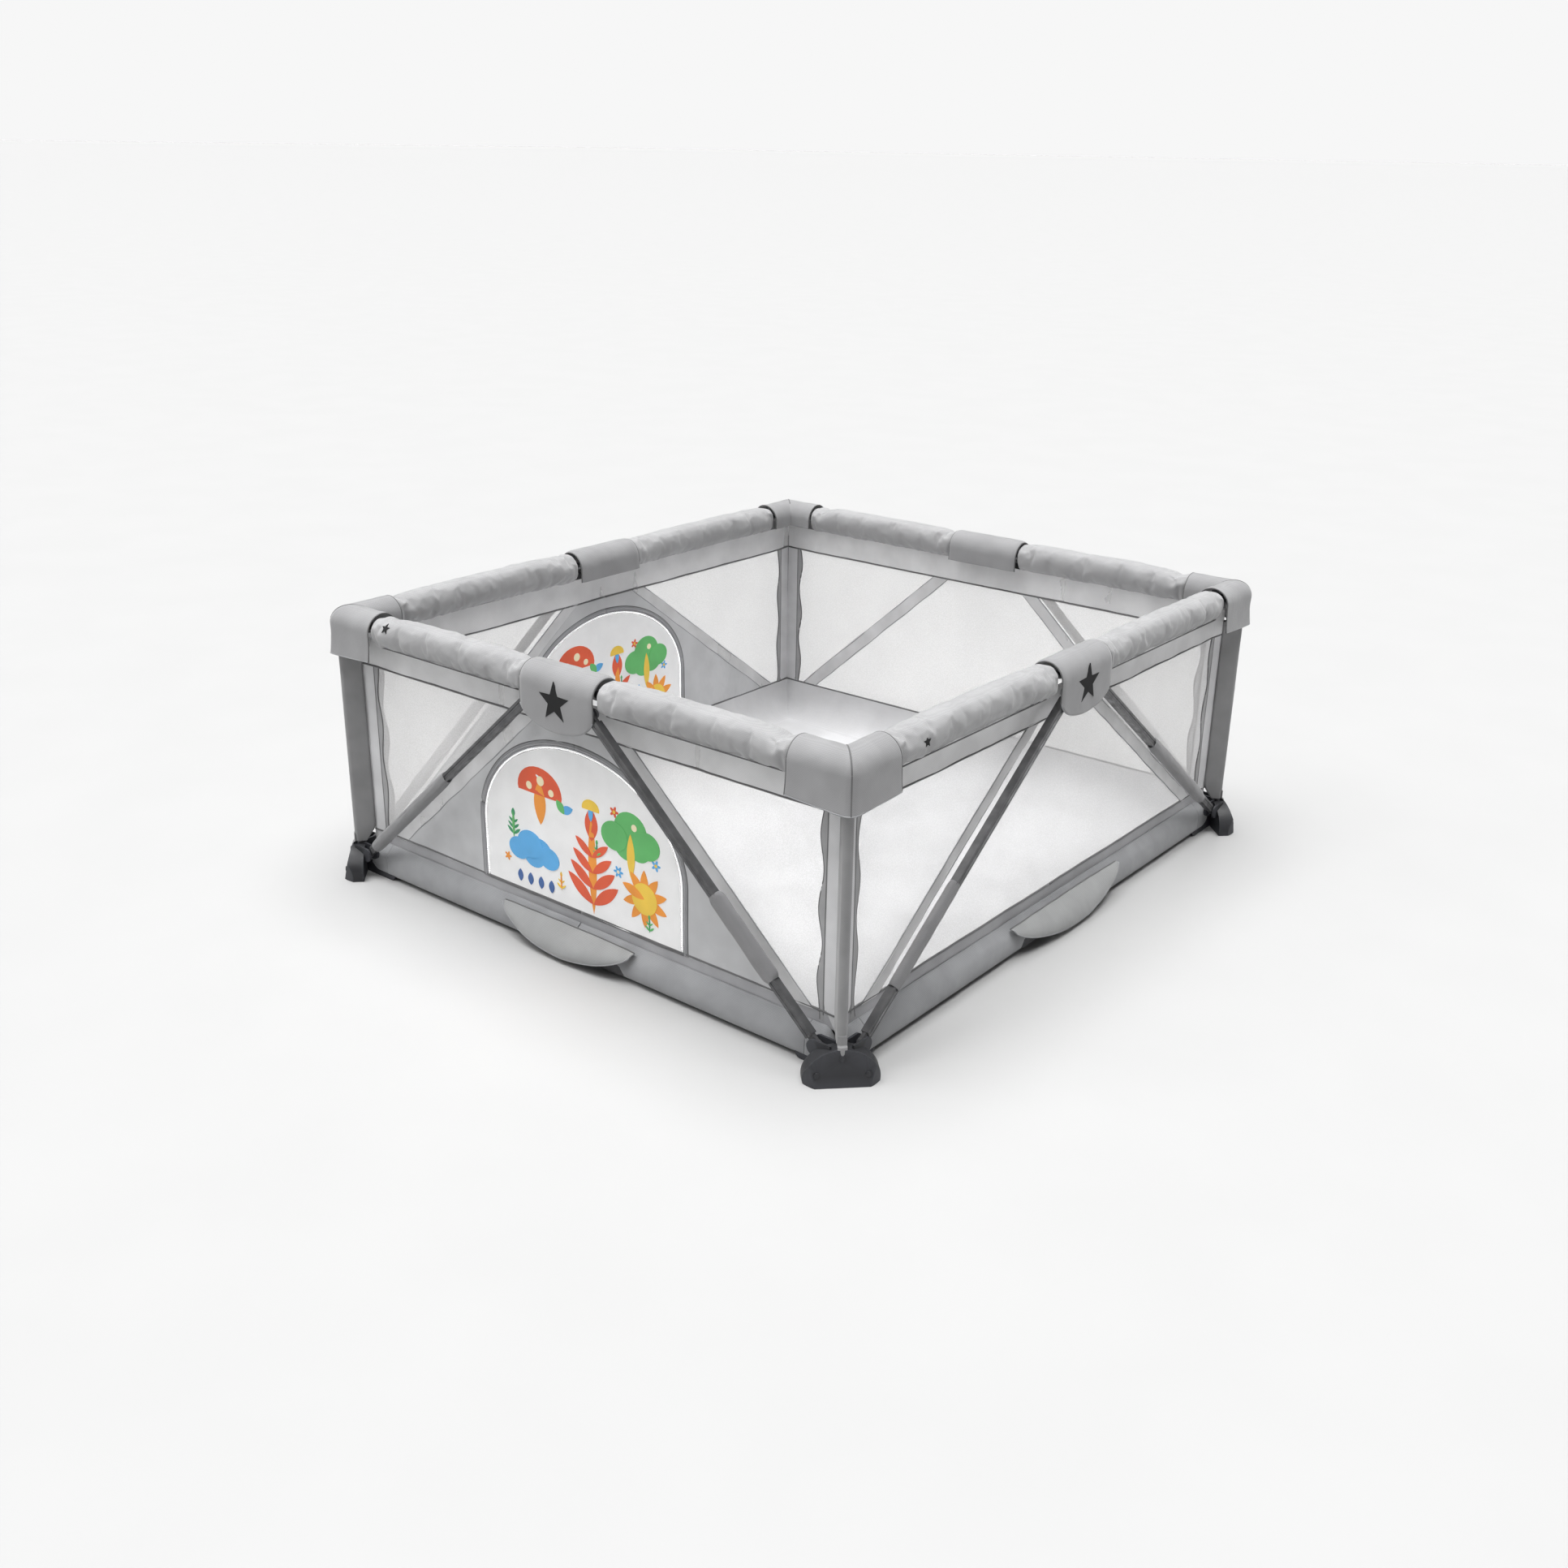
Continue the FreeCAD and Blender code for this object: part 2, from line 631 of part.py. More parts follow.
def build_sides():
    for side, (_, length, halves) in SIDES.items():
        pin_out = "hub_bar_front" if length == "half_width" else "hub_bar_side"
        at_side(f"hub_{side}", hub(pin_out), side, halves[0][1])
        at_side(f"hub_cover_{side}", hub_cover(), side, halves[0][1])
        for end, turn, out, leads in halves:
            at_side(f"top_rail_{side}_{end}", top_rail(length), side, turn)
            at_side(f"rail_pad_{side}_{end}", rail_pad(length), side, turn)
            at_side(f"bottom_rail_{side}_{end}", bottom_rail(length, leads), side, turn)
            at_side(f"diagonal_{side}_{end}", diagonal(length, pin_out, out), side, turn)


def build_cloth():
    finish("mesh_walls", wall_ring())
    finish("floor_mat", floor_mat())
    for side in DOOR_SIDES:
        door(f"door_{side}", side)


def export():
    """Check every object, then write one file for each sub-part."""
    broken = [o.Name for o in doc.Objects if {"Invalid", "Error"} & set(o.State)]
    broken += [n for n, o in nodes.items() if o.Shape.isNull() or not o.Shape.isValid()]
    if broken:
        raise SystemExit(f"these failed: {broken}")
    os.makedirs("parts", exist_ok=True)
    for node, thing in nodes.items():
        thing.Shape.exportStep(f"parts/{node}.step")
    print(len(nodes), "sub-parts written")


write_sizes()
build_corners()
build_sides()
build_cloth()
doc.recompute()
export()
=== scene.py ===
"""The looks of a folding playpen: cloth, net, foam, zips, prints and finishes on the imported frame. Metres."""
import math

import bpy
import bmesh
from mathutils import Matrix, Vector, noise


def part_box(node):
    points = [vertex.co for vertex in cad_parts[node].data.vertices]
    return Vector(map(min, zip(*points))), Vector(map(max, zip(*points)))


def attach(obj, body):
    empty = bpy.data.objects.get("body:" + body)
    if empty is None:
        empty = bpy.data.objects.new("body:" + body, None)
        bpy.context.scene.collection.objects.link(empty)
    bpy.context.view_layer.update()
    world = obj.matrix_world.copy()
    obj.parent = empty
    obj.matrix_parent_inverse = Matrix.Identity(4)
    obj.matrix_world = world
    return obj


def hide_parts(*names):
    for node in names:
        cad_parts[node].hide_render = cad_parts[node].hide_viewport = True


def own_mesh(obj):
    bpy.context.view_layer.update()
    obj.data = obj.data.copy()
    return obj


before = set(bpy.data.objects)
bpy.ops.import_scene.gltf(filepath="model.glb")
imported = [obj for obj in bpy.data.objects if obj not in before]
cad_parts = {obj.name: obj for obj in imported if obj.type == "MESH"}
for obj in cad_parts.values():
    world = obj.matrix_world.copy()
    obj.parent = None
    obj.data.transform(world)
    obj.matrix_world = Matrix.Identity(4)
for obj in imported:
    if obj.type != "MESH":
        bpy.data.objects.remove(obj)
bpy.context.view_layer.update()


def middle(node, axis):
    low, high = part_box(node)
    return (low[axis] + high[axis]) / 2


# sizes read from the frame
HALF_W = middle("top_rail_right_front", 0)
HALF_D = -middle("top_rail_front_left", 1)
RAIL_Z = middle("top_rail_front_left", 2)
PAD_RADIUS = (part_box("rail_pad_front_left")[1].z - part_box("rail_pad_front_left")[0].z) / 2
PAD_START = -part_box("rail_pad_front_left")[1].x - 0.0028
PAD_END = HALF_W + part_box("rail_pad_front_left")[0].x - 0.0022
WALL_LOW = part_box("mesh_walls")[0].z
WALL_IN = HALF_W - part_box("mesh_walls")[1].x + 0.00075
DOOR_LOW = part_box("door_front")[0].z
DOOR_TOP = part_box("door_front")[1].z
DOOR_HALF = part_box("door_front")[1].x
DOOR_SPRING = 0.250
MAT_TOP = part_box("floor_mat")[1].z
MAT_GAP = HALF_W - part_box("floor_mat")[1].x
POST_OFFSET = middle("post_front_right", 0) - HALF_W
POST_RADIUS = (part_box("post_front_right")[1].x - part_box("post_front_right")[0].x) / 2
COVER_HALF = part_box("hub_cover_front")[1].x
FLAP_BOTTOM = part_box("hub_cover_front")[0].z
COVER_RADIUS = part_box("hub_cover_front")[1].z - RAIL_Z
CAP_REACH = HALF_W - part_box("corner_cap_front_right")[0].x
CAP_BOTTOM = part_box("corner_cap_front_right")[0].z
BAR_OUT = 0.029
BAR_TOP = 0.590
BAR_RISE = 0.530
PIN_FRONT = 0.090
PIN_SIDE = 0.0589
FOOT_PIN = 0.030
FOLDED_SHARE = {"front": 0.314, "back": 0.314, "left": 0.306, "right": 0.306}

SEWN_TOP = RAIL_Z - 0.0315
CORNER_IN = 0.0088
BAND_BOTTOM = 0.526
BASE_TOP = 0.108
STRIP_WIDTH = 0.040
TRIM_WIDTH = 0.012
CLOTH = 0.0016
GROUND_SHADE = 0.408
GROUND_SIZE = 800
COVER_SKIN = 0.0022
COVER_THICK = 0.0024
SEAM_WIDE = 0.0028
SEAM_MIDDLE = 0.0019
SEAM_FINE = 0.0016


class Side:
    """One side of the pen. u runs along it, left to right seen from outside; out points away from it."""

    def __init__(self, name, out, along, half, low_end, high_end):
        self.name = name
        self.out = Vector((*out, 0))
        self.along = Vector((*along, 0))
        self.half = half
        self.reach = HALF_W if out[0] else HALF_D
        self.ends = {-1: low_end, 1: high_end}

    def at(self, u, out, z):
        return self.out * (self.reach + out) + self.along * u + Vector((0, 0, z))

    def cloth(self, u, z, lift=0.0, wave=1.0):
        """A point of the wall's cloth, which hangs in faint folds."""
        where = Vector((u * 9, z * 3, self.reach * 7 + self.out.x * 3 + self.out.y * 5))
        fold = noise.noise(where) * 0.0022 + noise.noise(where * 3.1) * 0.0008
        near_corner = min(1, max(0, (abs(u) - self.half + 0.060) / 0.045))
        return self.at(u, -WALL_IN + (WALL_IN - CORNER_IN) * near_corner + fold * wave + lift, z)


SIDES = [
    Side("front", (0, -1), (1, 0), HALF_W, ("left", "front_left"), ("right", "front_right")),
    Side("right", (1, 0), (0, 1), HALF_D, ("front", "front_right"), ("back", "back_right")),
    Side("back", (0, 1), (-1, 0), HALF_W, ("right", "back_right"), ("left", "back_left")),
    Side("left", (-1, 0), (0, -1), HALF_D, ("back", "back_left"), ("front", "front_left")),
]
DOORS = ("front", "left")
CORNERS = {"front_left": (-1, -1), "front_right": (1, -1), "back_right": (1, 1), "back_left": (-1, 1)}


def halves():
    """Each half of each side: the side's number, the side, -1 or 1, the name of its end, and its corner."""
    for number, side in enumerate(SIDES):
        for half, (end, corner) in side.ends.items():
            yield number, side, half, end, corner


def side_called(name):
    return next(side for side in SIDES if side.name == name)


def corner_point(corner, x, y, z):
    """A point near a corner, with x and y measured into the pen from where the two rails' planes cross."""
    sx, sy = CORNERS[corner]
    return Vector((sx * (HALF_W - x), sy * (HALF_D - y), z))


# ---- materials ----


def grey(value):
    return (value,) * 3


def scaled(colour, factor):
    return tuple(c * factor for c in colour)


class Nodes:
    """A material's node tree, with short names for what this scene uses."""

    def __init__(self, name, roughness, metallic=0.0):
        self.material = bpy.data.materials.new(name)
        self.material.use_nodes = True
        self.tree = self.material.node_tree
        self.shader = self.tree.nodes["Principled BSDF"]
        self.set("Roughness", roughness)
        self.set("Metallic", metallic)
        self.place = self.new("ShaderNodeTexCoord").outputs["Object"]

    def set(self, socket, value):
        self.shader.inputs[socket].default_value = value

    def feed(self, socket, source):
        self.link(source, self.shader.inputs[socket])

    def noise(self, scale):
        return self.texture("ShaderNodeTexNoise", scale).outputs["Fac"]

    def new(self, kind, **settings):
        node = self.tree.nodes.new(kind)
        for key, value in settings.items():
            setattr(node, key, value)
        return node

    def link(self, start, end):
        self.tree.links.new(start, end)

    def texture(self, kind, scale, **settings):
        node = self.new(kind, **settings)
        node.inputs["Scale"].default_value = scale
        self.link(self.place, node.inputs["Vector"])
        return node

    def ramp(self, source, low, high, start=0.35, end=0.65):
        node = self.new("ShaderNodeValToRGB")
        node.color_ramp.elements[0].position = start
        node.color_ramp.elements[1].position = end
        node.color_ramp.elements[0].color = (*low, 1)
        node.color_ramp.elements[1].color = (*high, 1)
        self.link(source, node.inputs["Fac"])
        return node.outputs["Color"]

    def mix(self, factor, one, other, blend="MIX"):
        node = self.new("ShaderNodeMix", data_type="RGBA", blend_type=blend)
        if isinstance(factor, float):
            node.inputs["Factor"].default_value = factor
        else:
            self.link(factor, node.inputs["Factor"])
        self.link(one, node.inputs["A"])
        self.link(other, node.inputs["B"])
        return node.outputs["Result"]

    def bump(self, height, strength, distance, below=None):
        node = self.new("ShaderNodeBump")
        node.inputs["Strength"].default_value = strength
        node.inputs["Distance"].default_value = distance
        self.link(height, node.inputs["Height"])
        if below:
            self.link(below, node.inputs["Normal"])
        return node.outputs["Normal"]

    def weave(self, pitch):
        """Threads over and under: the product of fine waves along two slanting directions."""
        waves = []
        for turn in ("DIAGONAL", "Z"):
            wave = self.texture("ShaderNodeTexWave", 1 / (pitch * 6.3), bands_direction=turn)
            wave.inputs["Distortion"].default_value = 0.3
            waves.append(wave.outputs["Color"])
        return self.mix(0.5, *waves)


def woven(name, colour, pitch=0.0011, sheen=0.25, contrast=0.10):
    """Woven cloth: threads, slow colour variation, fine wrinkles and a soft sheen."""
    cloth = Nodes(name, 0.85)
    light = tuple(min(1, c * (1 + contrast * 0.5)) for c in colour)
    shade = cloth.ramp(cloth.noise(14), scaled(colour, 1 - contrast), light)
    threads = cloth.weave(pitch)
    thread_shade = cloth.ramp(threads, grey(0.86), grey(1), 0.2, 0.8)
    cloth.feed("Base Color", cloth.mix(1.0, shade, thread_shade, "MULTIPLY"))
    crease = cloth.texture("ShaderNodeTexNoise", 38)
    crease.inputs["Detail"].default_value = 5
    soft = cloth.bump(crease.outputs["Fac"], 0.25, 0.004)
    cloth.feed("Normal", cloth.bump(threads, 0.35, 0.0004, soft))
    cloth.set("Sheen Weight", sheen)
    cloth.set("Sheen Roughness", 0.5)
    return cloth.material


def net(name, colour, alpha):
    """Fine see-through net: small round holes between pale threads."""
    cloth = Nodes(name, 0.9)
    holes = cloth.texture("ShaderNodeTexVoronoi", 480).outputs["Distance"]
    threads = cloth.ramp(holes, colour, scaled(colour, 0.86), 0.25, 0.6)
    shade = cloth.ramp(cloth.noise(7), grey(0.95), grey(1))
    cloth.feed("Base Color", cloth.mix(1.0, threads, shade, "MULTIPLY"))
    cloth.feed("Normal", cloth.bump(holes, 0.4, 0.0005))
    cloth.set("Alpha", alpha)
    cloth.set("Sheen Weight", 0.2)
    return cloth.material


def moulded(name, colour, roughness=0.55):
    """Moulded plastic: fine pitted grain, faint flow marks and paler scuffs on raised edges."""
    plastic = Nodes(name, roughness)
    cloud = plastic.noise(22)
    shade = plastic.ramp(cloud, scaled(colour, 0.82), scaled(colour, 1.25))
    edge = plastic.new("ShaderNodeNewGeometry").outputs["Pointiness"]
    worn = plastic.ramp(edge, grey(0), scaled(colour, 1.5), 0.52, 0.60)
    plastic.feed("Base Color", plastic.mix(1.0, shade, worn, "ADD"))
    plastic.feed("Roughness", plastic.ramp(cloud, grey(roughness - 0.07), grey(roughness + 0.1)))
    plastic.feed("Normal", plastic.bump(plastic.noise(900), 0.35, 0.0004))
    return plastic.material


def coated_steel(name, colour, metallic=0.35):
    """Powder-coated tube: orange-peel bump, slow colour variation and rubbed patches."""
    roughness = 0.38
    steel = Nodes(name, roughness, metallic)
    steel.feed("Base Color", steel.ramp(steel.noise(30), scaled(colour, 0.8), scaled(colour, 1.2)))
    steel.feed("Normal", steel.bump(steel.noise(700), 0.2, 0.0003))
    steel.feed("Roughness", steel.ramp(steel.noise(55), grey(roughness - 0.08), grey(roughness + 0.12)))
    return steel.material


def bright_metal(name, colour):
    """Plated screws and rivets, with fine turning marks."""
    metal = Nodes(name, 0.3, 1.0)
    cloud = metal.noise(260)
    metal.feed("Base Color", metal.ramp(cloud, scaled(colour, 0.75), colour))
    metal.feed("Normal", metal.bump(cloud, 0.15, 0.0002))
    return metal.material


PAD_CLOTH = woven("pad_cloth", (0.335, 0.335, 0.34), sheen=0.3, contrast=0.07)
CAP_CLOTH = woven("cap_cloth", (0.265, 0.265, 0.27), sheen=0.3, contrast=0.06)
BAND_CLOTH = woven("band_cloth", (0.70, 0.70, 0.705), sheen=0.35, contrast=0.08)
FLAP_CLOTH = woven("flap_cloth", (0.31, 0.315, 0.315), sheen=0.3, contrast=0.07)
BASE_CLOTH = woven("base_cloth", (0.37, 0.37, 0.385), contrast=0.09)
PANEL_CLOTH = woven("panel_cloth", (0.52, 0.525, 0.535), sheen=0.35, contrast=0.08)
GATHER_CLOTH = woven("gathered_cloth", (0.60, 0.60, 0.605), sheen=0.35, contrast=0.10)
STRIP_CLOTH = woven("strip_cloth", (0.64, 0.64, 0.65), contrast=0.08)
COLUMN_CLOTH = woven("column_cloth", (0.25, 0.25, 0.253), contrast=0.10)
TRIM_CLOTH = woven("trim_cloth", (0.36, 0.36, 0.365), contrast=0.14)
SLEEVE_CLOTH = woven("sleeve_cloth", (0.30, 0.305, 0.315), contrast=0.10)
BAR_CLOTH = woven("bar_cloth", (0.20, 0.20, 0.205), contrast=0.10)
BINDING = woven("binding_tape", (0.13, 0.13, 0.132), pitch=0.0008, contrast=0.12)
MAT_CLOTH = woven("mat_cloth", (0.57, 0.57, 0.58), sheen=0.2, contrast=0.04)
NET = net("wall_net", (0.94, 0.935, 0.93), 0.34)
DOOR_NET = woven("door_cloth", (0.93, 0.93, 0.93), pitch=0.0009, sheen=0.2, contrast=0.04)
ZIP_WHITE = moulded("zip_coil", (0.80, 0.80, 0.80), 0.45)
FOOT_PLASTIC = moulded("foot_plastic", (0.014, 0.0145, 0.017))
JOINT_PLASTIC = moulded("joint_plastic", (0.045, 0.045, 0.048))
BAR_STEEL = coated_steel("bar_steel", (0.085, 0.085, 0.088))
# painted highlight: a lighter steel for the floor of each diagonal bar's groove, standing in for the light line
# down the bar's middle
BAR_GROOVE_PAINTED_HIGHLIGHT = coated_steel("bar_inlay", (0.20, 0.20, 0.205), 0.2)
POST_STEEL = coated_steel("post_steel", (0.16, 0.16, 0.165))
SCREW = bright_metal("screw_plate", (0.55, 0.55, 0.56))
BLACK_PRINT = woven("dark_print", (0.004, 0.004, 0.005), sheen=0.0, contrast=0.2)
PRINTS = {
    "red": woven("print_red", (0.78, 0.10, 0.03), contrast=0.08),
    "orange": woven("print_orange", (0.90, 0.32, 0.03), contrast=0.08),
    "yellow": woven("print_yellow", (0.90, 0.60, 0.06), contrast=0.08),
    "green": woven("print_green", (0.12, 0.50, 0.14), contrast=0.10),
    "deep_green": woven("print_deep_green", (0.03, 0.30, 0.12), contrast=0.10),
    "blue": woven("print_blue", (0.10, 0.42, 0.80), contrast=0.08),
    "navy": woven("print_navy", (0.04, 0.12, 0.35), contrast=0.08),
    "cream": woven("print_cream", (0.93, 0.82, 0.55), contrast=0.05),
}


# ---- mesh helpers ----


def add_object(name, data):
    thing = bpy.data.objects.new(name, data)
    bpy.context.scene.collection.objects.link(thing)
    return thing


def shade_faces(mesh, smooth=True):
    for face in mesh.polygons:
        face.use_smooth = smooth


def make(name, points, faces, material):
    mesh = bpy.data.meshes.new(name)
    mesh.from_pydata([tuple(p) for p in points], [], faces)
    mesh.materials.append(material)
    shade_faces(mesh)
    return add_object(name, mesh)


def surface(name, rows, cols, point, material, loop=False):
    """A grid of quads from point(row share, column share). With loop, the last column joins the first."""
    width = cols if loop else cols + 1
    points = [point(i / rows, j / cols) for i in range(rows + 1) for j in range(width)]
    faces = []
    for i in range(rows):
        for j in range(cols):
            k = (j + 1) % width
            faces.append((i * width + j, i * width + k, (i + 1) * width + k, (i + 1) * width + j))
    return make(name, points, faces, material)


def bake(piece):
    """Apply a piece's modifiers."""
    bpy.context.view_layer.update()
    graph = bpy.context.evaluated_depsgraph_get()
    mesh = bpy.data.meshes.new_from_object(piece.evaluated_get(graph), depsgraph=graph)
    piece.modifiers.clear()
    piece.data = mesh
    shade_faces(mesh)
    return piece


def reshape(piece, change):
    """Run change on a piece's mesh opened for editing."""
    work = bmesh.new()
    work.from_mesh(piece.data)
    change(work)
    work.to_mesh(piece.data)
    work.free()
    return piece


def outward_normals(piece):
    return reshape(piece, lambda work: bmesh.ops.recalc_face_normals(work, faces=work.faces))


def close_holes(piece):
    def fill(work):
        bmesh.ops.holes_fill(work, edges=[e for e in work.edges if e.is_boundary], sides=0)

    return outward_normals(reshape(piece, fill))


def thicken(piece, thickness=CLOTH, smooth=0):
    solid = piece.modifiers.new("thickness", "SOLIDIFY")
    solid.thickness = thickness
    solid.offset = 0
    if smooth:
        piece.modifiers.new("smooth", "SUBSURF").levels = smooth
    outward_normals(bake(piece))
    piece.data.set_sharp_from_angle(angle=0.7)
    return piece


def join(name, pieces):
    """One object from several, keeping each one's material."""
    work = bmesh.new()
    materials = []
    for piece in pieces:
        start = len(work.faces)
        work.from_mesh(piece.data)
        work.faces.ensure_lookup_table()
        slots = []
        for material in piece.data.materials:
            if material not in materials:
                materials.append(material)
            slots.append(materials.index(material))
        for face in work.faces[start:]:
            face.material_index = slots[min(face.material_index, len(slots) - 1)]
        bpy.data.objects.remove(piece)
    mesh = bpy.data.meshes.new(name)
    work.to_mesh(mesh)
    work.free()
    for material in materials:
        mesh.materials.append(material)
    return add_object(name, mesh)


def tube_along(name, path, radius, material, sides=8, flat=1.0):
    """A closed tube along a list of points, as wide as 2 * radius and flat times as thick across."""
    points = []
    faces = []
    for i, here in enumerate(path):
        before = path[max(i - 1, 0)]
        after = path[min(i + 1, len(path) - 1)]
        ahead = (after - before).normalized()
        across = ahead.cross(Vector((0, 0, 1)))
        if across.length < 0.2:
            across = ahead.cross(Vector((1, 0.3, 0)))
        across.normalize()
        up = across.cross(ahead).normalized()
        for k in range(sides):
            turn = 2 * math.pi * k / sides
            points.append(here + across * math.cos(turn) * radius * flat + up * math.sin(turn) * radius)
    for i in range(len(path) - 1):
        for k in range(sides):
            j = (k + 1) % sides
            faces.append((i * sides + k, i * sides + j, (i + 1) * sides + j, (i + 1) * sides + k))
    faces.append(tuple(reversed(range(sides))))
    faces.append(tuple(range((len(path) - 1) * sides, len(path) * sides)))
    return outward_normals(make(name, points, faces, material))


def settle(piece, body, squash=None):
    """Give a finished piece its body and, if it flattens, a mesh of its own; how it flattens is not kept."""
    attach(piece, body)
    if squash:
        axis, anchor, keep = squash
        tuple(axis)
        tuple(anchor)
        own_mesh(piece)


def wall_squash(side, half):
    """How a half wall flattens towards its post as the pen folds."""
    return (side.along, side.at(half * side.half, 0, 0), FOLDED_SHARE[side.name])


# ---- padded rails ----


def pad_form(length, radius):
    """A plain pillow for a rail sleeve along X: slightly oval, with rounded ends."""
    rounding = 0.003

    def point(i, j):
        x = i * length
        from_end = min(x, length - x)
        inset = 0.0
        if from_end < rounding:
            inset = rounding - math.sqrt(max(rounding ** 2 - (rounding - from_end) ** 2, 0))
        turn = 2 * math.pi * j
        flat = 1 - 0.04 * math.cos(2 * turn) ** 2
        r = (radius - inset * 0.9) * flat
        return Vector((x, math.cos(turn) * r, math.sin(turn) * r))

    return close_holes(surface("pad_form", 60, 36, point, PAD_CLOTH, loop=True))


def puff(piece, voxel, cap, pinned):
    """Remesh a pillow, let cloth under pressure swell and wrinkle it, and keep each point within cap."""
    remesh = piece.modifiers.new("voxels", "REMESH")
    remesh.mode = "VOXEL"
    remesh.voxel_size = voxel
    bake(piece)
    rest = [v.co.copy() for v in piece.data.vertices]
    group = piece.vertex_groups.new(name="seam")
    group.add([v.index for v in piece.data.vertices if pinned(v.co)], 1.0, "REPLACE")
    cloth = piece.modifiers.new("cloth", "CLOTH")
    cloth.settings.quality = 5
    cloth.settings.mass = 0.25
    cloth.settings.tension_stiffness = 12
    cloth.settings.compression_stiffness = 12
    cloth.settings.bending_stiffness = 0.25
    cloth.settings.use_pressure = True
    cloth.settings.uniform_pressure_force = 4.0
    cloth.settings.shrink_min = -0.05
    cloth.settings.vertex_group_mass = "seam"
    cloth.settings.effector_weights.gravity = 0
    for step in range(1, 21):
        bpy.context.scene.frame_set(step)
    bake(piece)
    bpy.context.scene.frame_set(1)
    for vertex, start in zip(piece.data.vertices, rest):
        move = vertex.co - start
        if move.length > cap:
            vertex.co = start + move * (cap / move.length)
    piece.modifiers.new("smooth", "SUBSURF").levels = 1
    return bake(piece)


def wrinkle(piece, size, depth, seed):
    """Shift a piece's points along their normals by a soft noise, in its own frame."""
    offset = Vector((seed * 3.7, seed * 1.9, seed * 5.3))
    normals = [v.normal.copy() for v in piece.data.vertices]
    for vertex, normal in zip(piece.data.vertices, normals):
        where = vertex.co / size + offset
        vertex.co += normal * depth * (noise.noise(where) + 0.5 * noise.noise(where * 2.3))


def rail_pads():
    """Eight foam sleeves, from one simulated form for each of the two lengths."""
    radius = PAD_RADIUS - 0.0006
    forms = {}
    for half in {side.half for side in SIDES}:
        length = half - PAD_START - PAD_END
        form = pad_form(length, radius)

        def held(p):
            return p.z < -0.93 * radius or p.x < 0.004 or p.x > length - 0.004

        forms[half] = puff(form, voxel=0.006, cap=0.006, pinned=held)
    for number, side, half, end, _ in halves():
        pad = add_object(f"pad_{side.name}_{end}", forms[side.half].data.copy())
        seed = number * 2 + half
        wrinkle(pad, size=0.055, depth=0.0022, seed=seed)
        wrinkle(pad, size=0.018, depth=0.0005, seed=seed + 20)
        start = side.at(half * PAD_START, 0, RAIL_Z)
        across = side.out if half > 0 else -side.out
        turn = Matrix((side.along * half, across, Vector((0, 0, 1)))).transposed().to_4x4()
        pad.data.transform(Matrix.Translation(start) @ turn)
        outward_normals(pad)
        shade_faces(pad.data)
        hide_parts(f"rail_pad_{side.name}_{end}")
        settle(pad, f"top_rail_{side.name}_{end}")
        pad_seam(side, half, end)
    for form in forms.values():
        bpy.data.objects.remove(form)


def rail_marks():
    """A small plain star sewn on the front and the right rail sleeve."""
    for side_name, end, u, z in (("front", "left", -0.550, 0.646), ("right", "front", -0.600, 0.630)):
        side = side_called(side_name)
        pad = bpy.data.objects[f"pad_{side_name}_{end}"]
        lean = math.asin((z - RAIL_Z) / PAD_RADIUS)
        spot = side.at(u, PAD_RADIUS * math.cos(lean), z)
        _, surface_point, _, _ = pad.closest_point_on_mesh(spot)
        reach = (surface_point - side.at(surface_point.dot(side.along), 0, RAIL_Z)).length

        def place(x, y, lift):
            turn = lean + y / PAD_RADIUS
            r = reach + lift
            return side.at(u + x, r * math.cos(turn), RAIL_Z + r * math.sin(turn))

        mark = flat_shape(f"rail_mark_{side_name}", star_outline(0.013, 0.0055), BLACK_PRINT, place, 0.0015)
        settle(mark, f"top_rail_{side_name}_{end}")


def pad_seam(side, half, end):
    """The sewn seam under a rail sleeve."""
    start = PAD_START + 0.02
    stop = side.half - PAD_END - 0.02
    angle = math.radians(-52)
    r = PAD_RADIUS - 0.0008
    out, z = r * math.cos(angle), RAIL_Z + r * math.sin(angle)
    path = [side.at(half * (start + (stop - start) * k / 46), out, z) for k in range(47)]
    seam = tube_along(f"pad_seam_{side.name}_{end}", path, SEAM_FINE, BINDING)
    settle(seam, f"top_rail_{side.name}_{end}")


# ---- covers over the hubs and corners ----


def arch_section(share, radius, inner_low, outer_low, flare=0.0):
    """A point (out, z) on an upside-down U, from its inner bottom edge over the top to its outer one."""
    inner = RAIL_Z - inner_low
    outer = RAIL_Z - outer_low
    over = math.pi * radius
    walk = share * (inner + over + outer)
    if walk < inner:
        return -radius, inner_low + walk
    walk -= inner
    if walk < over:
        turn = math.pi - walk / radius
        return radius * math.cos(turn), RAIL_Z + radius * math.sin(turn)
    walk -= over
    return radius + flare * (walk / outer) ** 2, RAIL_Z - walk


